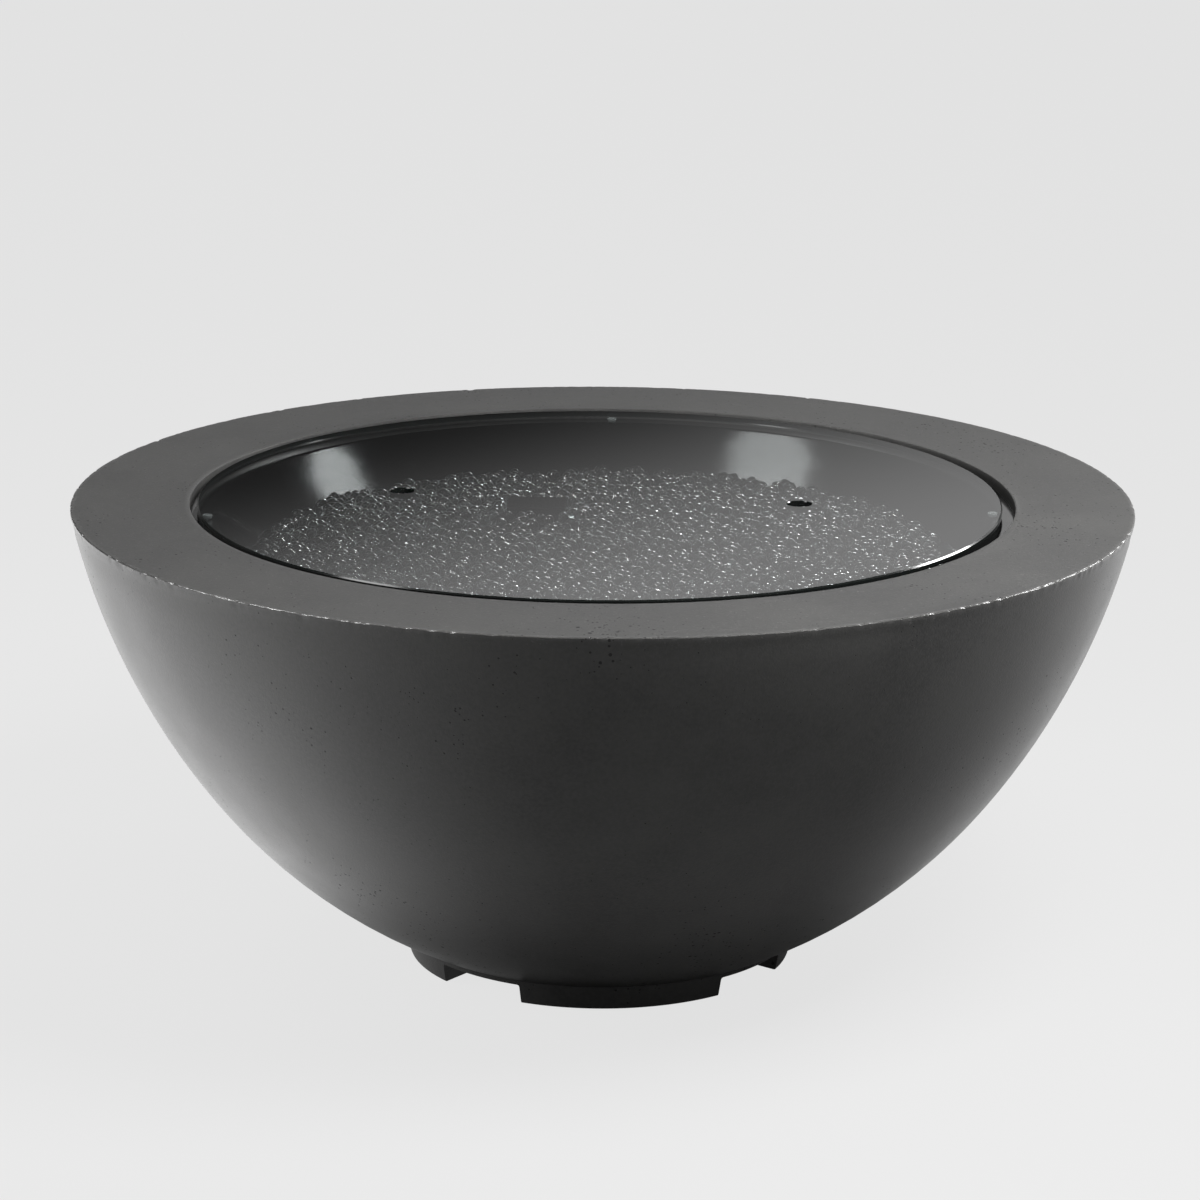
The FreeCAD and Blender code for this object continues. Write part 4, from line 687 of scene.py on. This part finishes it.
def bowlOutline():
    b = bowl
    top, edge, opening = rimTop, b["edge"], b["opening"]
    outline = list(b["footRing"])
    outline += arcPoints(b["foot"], b["knee"], b["lowerArc"], 12)[:-1]
    upper = arcPoints(b["knee"], (b["rimRadius"], top - b["wallEnd"]), b["upperArc"], 16)
    outline += upper[:-1]
    # closely spaced points near the edge, which the chips reach
    outline += [(upper[-1][0] - down * b["wallLean"], upper[-1][1] - down)
                for down in b["nearEdge"]]
    edgeStart = len(outline)
    for i in range(1, b["edgeSteps"] + 1):
        a = math.radians(90 * i / b["edgeSteps"])
        outline.append((b["rimRadius"] - edge + edge * math.cos(a),
                        top - edge + edge * math.sin(a)))
    edgeEnd = len(outline)
    outline += [(r, top) for r in b["rimRadii"]]
    outline += [(opening + b["openingEdge"], top),
                (opening + b["openingBevel"], top - b["openingBevel"]),
                (opening, top - b["openingEdge"]), (opening, b["ledge"]),
                (b["ledgeInner"], b["ledge"]), (b["ledgeInner"], b["topUnder"])]
    high = (b["rimRadius"] - b["wall"] * b["innerTop"], b["topUnder"])
    corner = (b["knee"][0] - b["wall"] * b["innerKnee"][0],
              b["knee"][1] + b["wall"] * b["innerKnee"][1])
    low = (b["foot"][0] - b["wall"] * b["innerFoot"], b["floorTop"])
    outline += [high] + bowedPoints(high, corner, b["upperBow"], 6)
    outline += bowedPoints(corner, low, b["lowerBow"], 6)
    outline += [(b["floorHole"], b["floorTop"]), (b["floorHole"], b["floorUnder"])]
    return outline, edgeStart, edgeEnd, upper


def nichePad(upper):
    # thick pad behind the control niche, its back inside the wall
    b = bowl
    width, height, depth = b["boss"]
    rows, columns = b["bossRows"], b["bossColumns"]
    points, faces = [], []
    for i in range(rows + 1):
        z = b["panelHeight"] - height / 2 + height * i / rows
        (r0, z0), (r1, z1) = next(pair for pair in zip(upper, upper[1:])
                                  if pair[0][1] <= z <= pair[1][1])
        back = r0 + (r1 - r0) * (z - z0) / (z1 - z0) - b["bossBury"]
        for j in range(columns + 1):
            x = -width / 2 + width * j / columns
            points += [(x, b["panelPlane"] - depth, z), (x, math.sqrt(back * back - x * x), z)]

    def at(i, j, side):
        return (i * (columns + 1) + j) * 2 + side

    for i in range(rows):
        for j in range(columns):
            for side in (0, 1):
                faces.append((at(i, j, side), at(i, j + 1, side),
                              at(i + 1, j + 1, side), at(i + 1, j, side)))
        for j in (0, columns):
            faces.append((at(i, j, 0), at(i + 1, j, 0), at(i + 1, j, 1), at(i, j, 1)))
    for j in range(columns):
        for i in (0, rows):
            faces.append((at(i, j, 0), at(i, j + 1, 0), at(i, j + 1, 1), at(i, j, 1)))
    pad = newPiece("nichePad", points, faces)
    tidySkin(pad)
    return pad


def cutBowl(piece):
    b = bowl
    window = b["panelPlane"] - b["boss"][2] - 0.005     # starts inside the hollow
    for name, (w, h, corner), start in (("niche", b["niche"], b["panelPlane"]),
                                        ("window", b["window"], window)):
        combine(piece, boxPiece(name, (-w / 2, start, b["panelHeight"] - h / 2),
                                (w / 2, b["past"], b["panelHeight"] + h / 2), corner))
    w, h, corner = b["notch"]
    for turn in (45, 135):
        slot = boxPiece("footNotch", (-w / 2, -b["notchReach"], -0.005),
                        (w / 2, b["notchReach"], h), corner, 2)
        slot.data.transform(Matrix.Rotation(math.radians(turn), 4, "Z"))
        combine(piece, slot)


def markRubAndGlint(piece):
    # how rubbed each point of the rim's edges is, read by the concrete, which makes it smoother and
    # paler there; the paleness is partly wear and partly a painted highlight for the edge's glints
    b = bowl
    reach = b["rubAndGlintReach"]
    values = []
    for vertex in piece.data.vertices:
        r, z = math.hypot(vertex.co.x, vertex.co.y), vertex.co.z
        outer = math.hypot(r - b["rimRadius"] + 0.001, z - rimTop + 0.001)
        inner = math.hypot(r - b["opening"], z - rimTop)
        wornAndGlint = 0.0
        if outer < reach:
            wornAndGlint = (1 - outer / reach) * (0.45 + 0.9 * max(0.0, noise.noise(vertex.co * 40)))
        if inner < reach:
            wornAndGlint = max(wornAndGlint, (1 - inner / reach) * b["openingRubAndGlint"])
        values.append(min(1.0, wornAndGlint))
    piece.data.attributes.new("edgeRubAndGlint", "FLOAT", "POINT").data.foreach_set("value", values)


def makeBowl():
    b = bowl
    outline, edgeStart, edgeEnd, upper = bowlOutline()
    nicks = edgeNicks()

    def shape(k, angle, r, z):
        around = Vector((math.cos(angle), math.sin(angle), 0))
        if edgeStart - 3 <= k <= edgeEnd + 1:
            spot = around * b["rimRadius"]
            (coarse, much), (fine, little) = b["wearCoarse"], b["wearFine"]
            wear = max(0.0, noise.noise(spot * coarse)) * much + max(
                0.0, noise.noise(spot * fine + Vector((7, 3, k * 0.3)))) * little
            for at, width, depth in nicks:
                away = abs((angle - at + math.pi) % (2 * math.pi) - math.pi)
                if away < width:
                    wear = max(wear, depth * (1 - (away / width) ** 2))
            # most at the middle of the edge's round
            share = max(0.0, 1 - abs(k - (edgeStart + edgeEnd - 1) / 2) / b["wearReach"])
            r -= wear * share
            z -= wear * share * 0.8
        elif edgeEnd + 2 <= k <= edgeEnd + 6:
            scale, much = b["rimWave"]
            z -= much * (1 + noise.noise(around * r * scale))
        return r, z

    piece = turned("castBowl", outline, b["steps"], shape)
    combine(piece, nichePad(upper), "UNION")
    cutBowl(piece)
    tidySkin(piece)
    smooth(piece, 28)
    markRubAndGlint(piece)
    finishPiece(piece, concrete, "bowl", "cast_concrete", "fire_bowl")
    for name in ("edgesOnly", "rimOnly"):
        receivers[name].objects.link(piece)
    print("bowl ready:", len(piece.data.polygons), "faces")


makeBowl()

# one pressed sheet
pan = {
    "steps": 320, "flange": 0.4125, "bend": 0.392, "roll": 0.004, "corner": 0.0135,
    "angle": 49.3, "sheet": 0.0015, "floor": 0.396, "top": 0.4655, "bore": 0.0109,
    "floorRadii": (0.20, 0.05), "wallShares": (0.3, 0.5, 0.7),
    "weepCount": 6, "weepCircle": 0.280, "weep": 0.003, "drill": (-0.016, 0.014),
}


def makePan():
    p = pan
    lean = math.radians(p["angle"])
    drop = (p["top"] - p["floor"]) / math.tan(lean)
    wallDown = (-math.cos(lean), -math.sin(lean))
    wallUp = (math.cos(lean), math.sin(lean))
    # upper face from the flange inwards, then the under face back out
    outline = [(p["flange"], p["top"])]
    outline += filletPoints((p["bend"], p["top"]), p["roll"], (-1, 0), wallDown, 5)
    outline += [(p["bend"] - drop * t, p["top"] - (p["top"] - p["floor"]) * t)
                for t in p["wallShares"]]
    outline += filletPoints((p["bend"] - drop, p["floor"]), p["corner"], wallDown, (-1, 0), 6)
    outline += [(r, p["floor"]) for r in p["floorRadii"]] + [(p["bore"], p["floor"])]
    floor, top = p["floor"] - p["sheet"], p["top"] - p["sheet"]
    bend = p["bend"] + p["sheet"] * math.tan(lean / 2)
    outline += [(p["bore"], floor)] + [(r, floor) for r in reversed(p["floorRadii"])]
    outline += filletPoints((bend - drop, floor), p["corner"] + p["sheet"], (1, 0), wallUp, 6)
    outline += filletPoints((bend, top), p["roll"] - p["sheet"], wallUp, (1, 0), 4)
    outline += [(p["flange"], top)]
    piece = turned("burnerPan", outline, p["steps"])
    low, high = p["floor"] + p["drill"][0], p["floor"] + p["drill"][1]
    for i in range(p["weepCount"]):
        a = 2 * math.pi * i / p["weepCount"]
        drill = turned("weepDrill", [(nearAxis, low), (p["weep"], low), (p["weep"], high),
                                     (nearAxis, high)], 24)
        drill.data.transform(Matrix.Translation((p["weepCircle"] * math.cos(a),
                                                 p["weepCircle"] * math.sin(a), 0)))
        combine(piece, drill)
    smooth(piece, 35)
    finishPiece(piece, panSteel, "bowl", "pan_steel", "burner_pan")
    print("pan ready")


makePan()

cover = {
    "steps": 480, "radius": 0.4045, "low": 0.470, "thick": 0.006, "arris": 0.0014,
    "middle": 0.30, "shift": -0.003,
    "hole": 0.0125, "holeChamfer": 0.0008, "holeSteps": 72, "holeCircle": 0.2015,
    "holeTurn": -13.5,
}


def makeCover():
    c = cover
    low, high = c["low"], c["low"] + c["thick"]
    r, e = c["radius"], c["arris"]
    outline = [(nearAxis, low), (c["middle"], low), (r - e, low), (r, low + e),
               (r, high - e), (r - e, high), (c["middle"], high), (nearAxis, high)]
    piece = turned("glassCover", outline, c["steps"])
    hole, chamfer, past = c["hole"], c["holeChamfer"], 0.004
    for half in (0, 180):
        a = math.radians(c["holeTurn"] + half)
        drill = turned("fingerDrill", [
            (nearAxis, low - past), (hole + past + chamfer, low - past), (hole, low + chamfer),
            (hole, high - chamfer), (hole + past + chamfer, high + past),
            (nearAxis, high + past)], c["holeSteps"])
        drill.data.transform(Matrix.Translation((c["holeCircle"] * math.cos(a),
                                                 c["holeCircle"] * math.sin(a), 0)))
        combine(piece, drill)
    piece.data.transform(Matrix.Translation((c["shift"], 0, 0)))
    tidySkin(piece)
    smooth(piece, 20)
    finishPiece(piece, coverGlass, "cover", "cover_glass", "glass_cover")
    # the pane's edge faces take the painted shade
    piece.data.materials.append(paneEdgeShade)
    for face in piece.data.polygons:
        face.material_index = int(abs(face.normal.z) < 0.95)    # all but the two flat faces
    receivers["edgesOnly"].objects.link(piece)
    print("cover ready")


makeCover()

bed = {
    "surface": 0.4285, "floor": 0.3965, "beadSize": 0.0135, "spread": 0.0026,
    "pitch": 0.0128, "rowShare": 0.866, "loose": 0.35, "lift": (-0.0035, 0.002), "layers": 3,
    "reach": 0.40,                                  # the rows run from minus this to this
    "wallAt": 0.392, "wallTop": 0.4655, "wallAngle": 49.3, "wallGap": 0.62,
    "wave": (14, 0.0022, 0.0008), "sunk": 0.42,
    "shield": (-0.0517, 0.1416, -7.2, 0.060, 0.050),    # place, turn in degrees, width, depth
    "heap": 0.0105, "heapFrom": 0.008, "heapFade": 0.034,
    "ring": 0.198, "ringTube": 0.0095, "spokeTube": 0.008, "tubeAxis": 0.4075,
    "overTube": 0.4255, "hub": 0.015, "overHub": 0.4238,
    "seed": 7, "turnSeed": 11,
}


def bedSpots(layer):
    # loose hexagonal rows in one layer, kept off the pan, the burner and the hood
    b = bed
    pick = random.Random(b["seed"] + layer)
    last = layer == b["layers"] - 1
    depth = (b["surface"] - b["floor"]) - b["beadSize"]
    middle = b["floor"] + b["beadSize"] / 2 + depth * layer / (b["layers"] - 1)
    cx, cy, turn, w, d = b["shield"]
    turn = math.radians(turn)
    loose = b["loose"] * b["pitch"]
    spots = []
    row = 0
    y = -b["reach"]
    while y < b["reach"]:
        x = -b["reach"] + (row % 2) * b["pitch"] / 2 + layer * b["pitch"] / 3
        while x < b["reach"]:
            px = x + pick.uniform(-loose, loose)
            py = y + pick.uniform(-loose, loose)
            size = b["beadSize"] + pick.uniform(-1, 1) * b["spread"]
            pz = middle + pick.uniform(*b["lift"])
            u = (px - cx) * math.cos(turn) + (py - cy) * math.sin(turn)
            v = -(px - cx) * math.sin(turn) + (py - cy) * math.cos(turn)
            if last:
                scale, much, less = b["wave"]
                pz += much * noise.noise(Vector((px, py, 0)) * scale) - less
                pz = min(pz, b["surface"] - size * b["sunk"])
                # a few lie heaped against the hood
                beside = max(abs(u) - w / 2, abs(v) - d / 2)
                pz += b["heap"] * max(0.0, 1 - max(beside - b["heapFrom"], 0.0) / b["heapFade"])
            r = math.hypot(px, py)
            wall = b["wallAt"] - (b["wallTop"] - pz) / math.tan(math.radians(b["wallAngle"]))
            clear = r < wall - size * b["wallGap"]
            # beads of the top layer ride over the burner tube and its spokes
            spoke = min(abs(px), abs(py)) if r < b["ring"] else 1.0
            for away, tube in ((abs(r - b["ring"]), b["ringTube"]), (spoke, b["spokeTube"])):
                reach = tube + size * 0.5
                if away < reach:
                    over = b["tubeAxis"] + math.sqrt(reach * reach - away * away) * 0.97
                    if last:
                        pz = max(pz, min(over, b["overTube"]))
                    elif pz < over:
                        clear = False
            if r < b["hub"] + size / 2:
                clear = clear and last
                pz = b["overHub"]
            if abs(u) < w / 2 + size / 2 and abs(v) < d / 2 + size / 2:
                clear = False
            if clear:
                spots.append(((px, py, pz), size))
            x += b["pitch"]
        y += b["pitch"] * b["rowShare"]
        row += 1
    return spots


def beadTree():
    # one tumbled bead on each point: size, stretch and turn at random from a fixed seed
    tree = bpy.data.node_groups.new("tumbledBeads", "GeometryNodeTree")
    face = tree.interface
    face.new_socket("Geometry", in_out="INPUT", socket_type="NodeSocketGeometry")
    for name, kind, value in (("Stretch", "NodeSocketFloat", 0.22),
                              ("Lumps", "NodeSocketFloat", 0.0012),
                              ("Seed", "NodeSocketInt", 3),
                              ("Glass", "NodeSocketMaterial", beadGlass)):
        face.new_socket(name, in_out="INPUT", socket_type=kind).default_value = value
    face.new_socket("Geometry", in_out="OUTPUT", socket_type="NodeSocketGeometry")
    given = addNode(tree, "NodeGroupInput").outputs
    bead = addNode(tree, "GeometryNodeMeshIcoSphere", {"Radius": 0.5, "Subdivisions": 2})
    low = addNode(tree, "ShaderNodeMath", {0: 1.0, 1: given["Stretch"]}, operation="SUBTRACT")
    high = addNode(tree, "ShaderNodeMath", {0: 1.0, 1: given["Stretch"]}, operation="ADD")
    stretch = addNode(tree, "FunctionNodeRandomValue", {0: low, 1: high, "Seed": given["Seed"]},
                      data_type="FLOAT_VECTOR")
    turn = addNode(tree, "FunctionNodeRandomValue", {
        0: (0, 0, 0), 1: (6.283, 6.283, 6.283), "Seed": given["Seed"]},
        data_type="FLOAT_VECTOR")
    own = addNode(tree, "GeometryNodeInputNamedAttribute", {"Name": "beadSize"},
                  data_type="FLOAT")
    scale = addNode(tree, "ShaderNodeVectorMath", {0: stretch, 1: own}, operation="MULTIPLY")
    spread = addNode(tree, "GeometryNodeInstanceOnPoints", {
        "Points": given["Geometry"], "Instance": bead, "Rotation": turn, "Scale": scale})
    real = addNode(tree, "GeometryNodeRealizeInstances", {0: spread})
    where = addNode(tree, "GeometryNodeInputPosition")
    lumps = addNode(tree, "ShaderNodeTexNoise", {"Vector": where, "Scale": 95.0, "Detail": 1.0})
    offset = addNode(tree, "ShaderNodeVectorMath", {0: lumps.outputs["Color"],
                                                    1: (0.5, 0.5, 0.5)}, operation="SUBTRACT")
    offset = addNode(tree, "ShaderNodeVectorMath", {0: offset, "Scale": given["Lumps"]},
                     operation="SCALE")
    bent = addNode(tree, "GeometryNodeSetPosition", {"Geometry": real, "Offset": offset})
    soft = addNode(tree, "GeometryNodeSetShadeSmooth", {0: bent})
    done = addNode(tree, "GeometryNodeSetMaterial", {"Geometry": soft,
                                                     "Material": given["Glass"]})
    addNode(tree, "NodeGroupOutput", {0: done})
    return tree


def makeBed():
    tree = beadTree()
    seedKey = next(item.identifier for item in tree.interface.items_tree if item.name == "Seed")
    total = 0
    # each layer in two halves, so that no piece has too many faces
    for layer in range(bed["layers"]):
        for half, halfName in enumerate(("Front", "Back")):
            spots = [(spot, size) for spot, size in bedSpots(layer)
                     if (spot[1] > 0) == (half == 1)]
            total += len(spots)
            carrier = newPiece("beadSpots", [spot for spot, size in spots], [])
            sizes = carrier.data.attributes.new("beadSize", "FLOAT", "POINT")
            sizes.data.foreach_set("value", [size for spot, size in spots])
            modifier = carrier.modifiers.new("beads", "NODES")
            modifier.node_group = tree
            modifier[seedKey] = bed["turnSeed"] + layer * 2 + half
            made = finalMesh(carrier)
            bpy.data.objects.remove(carrier)
            piece = bpy.data.objects.new("fireGlass%s%d" % (halfName, layer + 1), made)
            bpy.context.scene.collection.objects.link(piece)
            receivers["fireGlassOnly"].objects.link(piece)
            finishPiece(piece, beadGlass, "bowl", "fire_glass_clear", "fire_glass")
    print("fire glass ready:", total, "beads")


makeBed()

# return spring of the igniter, which shortens as the button goes in; here it is a fixed coil
spring = {"wire": 0.0006, "turns": 4, "steps": 28, "around": 12}


def makeSpring():
    s = spring
    low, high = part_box("igniter_spring")
    middle = (low + high) / 2
    radius = (high.x - low.x) / 2 - s["wire"]
    start, end = low.y + s["wire"], high.y - s["wire"]
    count, ring = s["turns"] * s["steps"], s["around"]
    points, faces = [], []
    for i in range(count + 1):
        a = 2 * math.pi * i / s["steps"]
        outward = Vector((math.cos(a), 0, -math.sin(a)))
        centre = Vector((middle.x, start + (end - start) * i / count, middle.z)) + outward * radius
        for k in range(ring):
            b = 2 * math.pi * k / ring
            points.append(centre + outward * s["wire"] * math.cos(b)
                          + Vector((0, s["wire"] * math.sin(b), 0)))
    for i in range(count):
        for k in range(ring):
            n = (k + 1) % ring
            a, b = i * ring, (i + 1) * ring
            faces.append((a + k, b + k, b + n, a + n))
    faces += [tuple(range(ring)), tuple(range(len(points) - ring, len(points)))]
    piece = newPiece("igniterCoil", points, faces)
    tidySkin(piece, 1e-6)
    smooth(piece, 50)
    piece.data.materials.append(zinc)
    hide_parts("igniter_spring")
    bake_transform(piece)
    print("spring ready")


makeSpring()

# the model's own pieces get their finish
finishes = {
    zinc: ("burner_nut", "air_mixer", "air_shutter", "shield_screws", "shield_nuts",
           "panel_screws", "inlet_screws", "igniter_cell", "igniter_spring"),
    brass: ("gas_orifice", "panel_anchors", "valve_nut", "valve_plunger", "valve_stem",
            "inlet_anchors", "inlet_fitting", "inlet_nut"),
    tubeSteel: ("burner_ring", "electrode_wire", "flame_probe"),
    hoodSteel: ("igniter_shield",),
    plateSteel: ("control_panel", "inlet_plate", "supply_hose", "mixer_hose"),
    castAluminium: ("gas_valve",),
    blackPlastic: ("control_knob", "igniter_housing", "igniter_nut", "igniter_button"),
    chrome: ("igniter_cap",),
    ceramic: ("electrode_insulator",),
    silicone: ("ignition_lead",),
    copper: ("probe_lead",),
    bumperRubber: ("cover_bumpers",),
    concrete: ("fire_bowl",),
    panSteel: ("burner_pan",),
    coverGlass: ("glass_cover",),
    beadGlass: ("fire_glass",),
}
for material, names in finishes.items():
    for name in names:
        nodes[name].data.materials.clear()
        nodes[name].data.materials.append(material)
print("finishes set on", sum(len(names) for names in finishes.values()), "pieces")
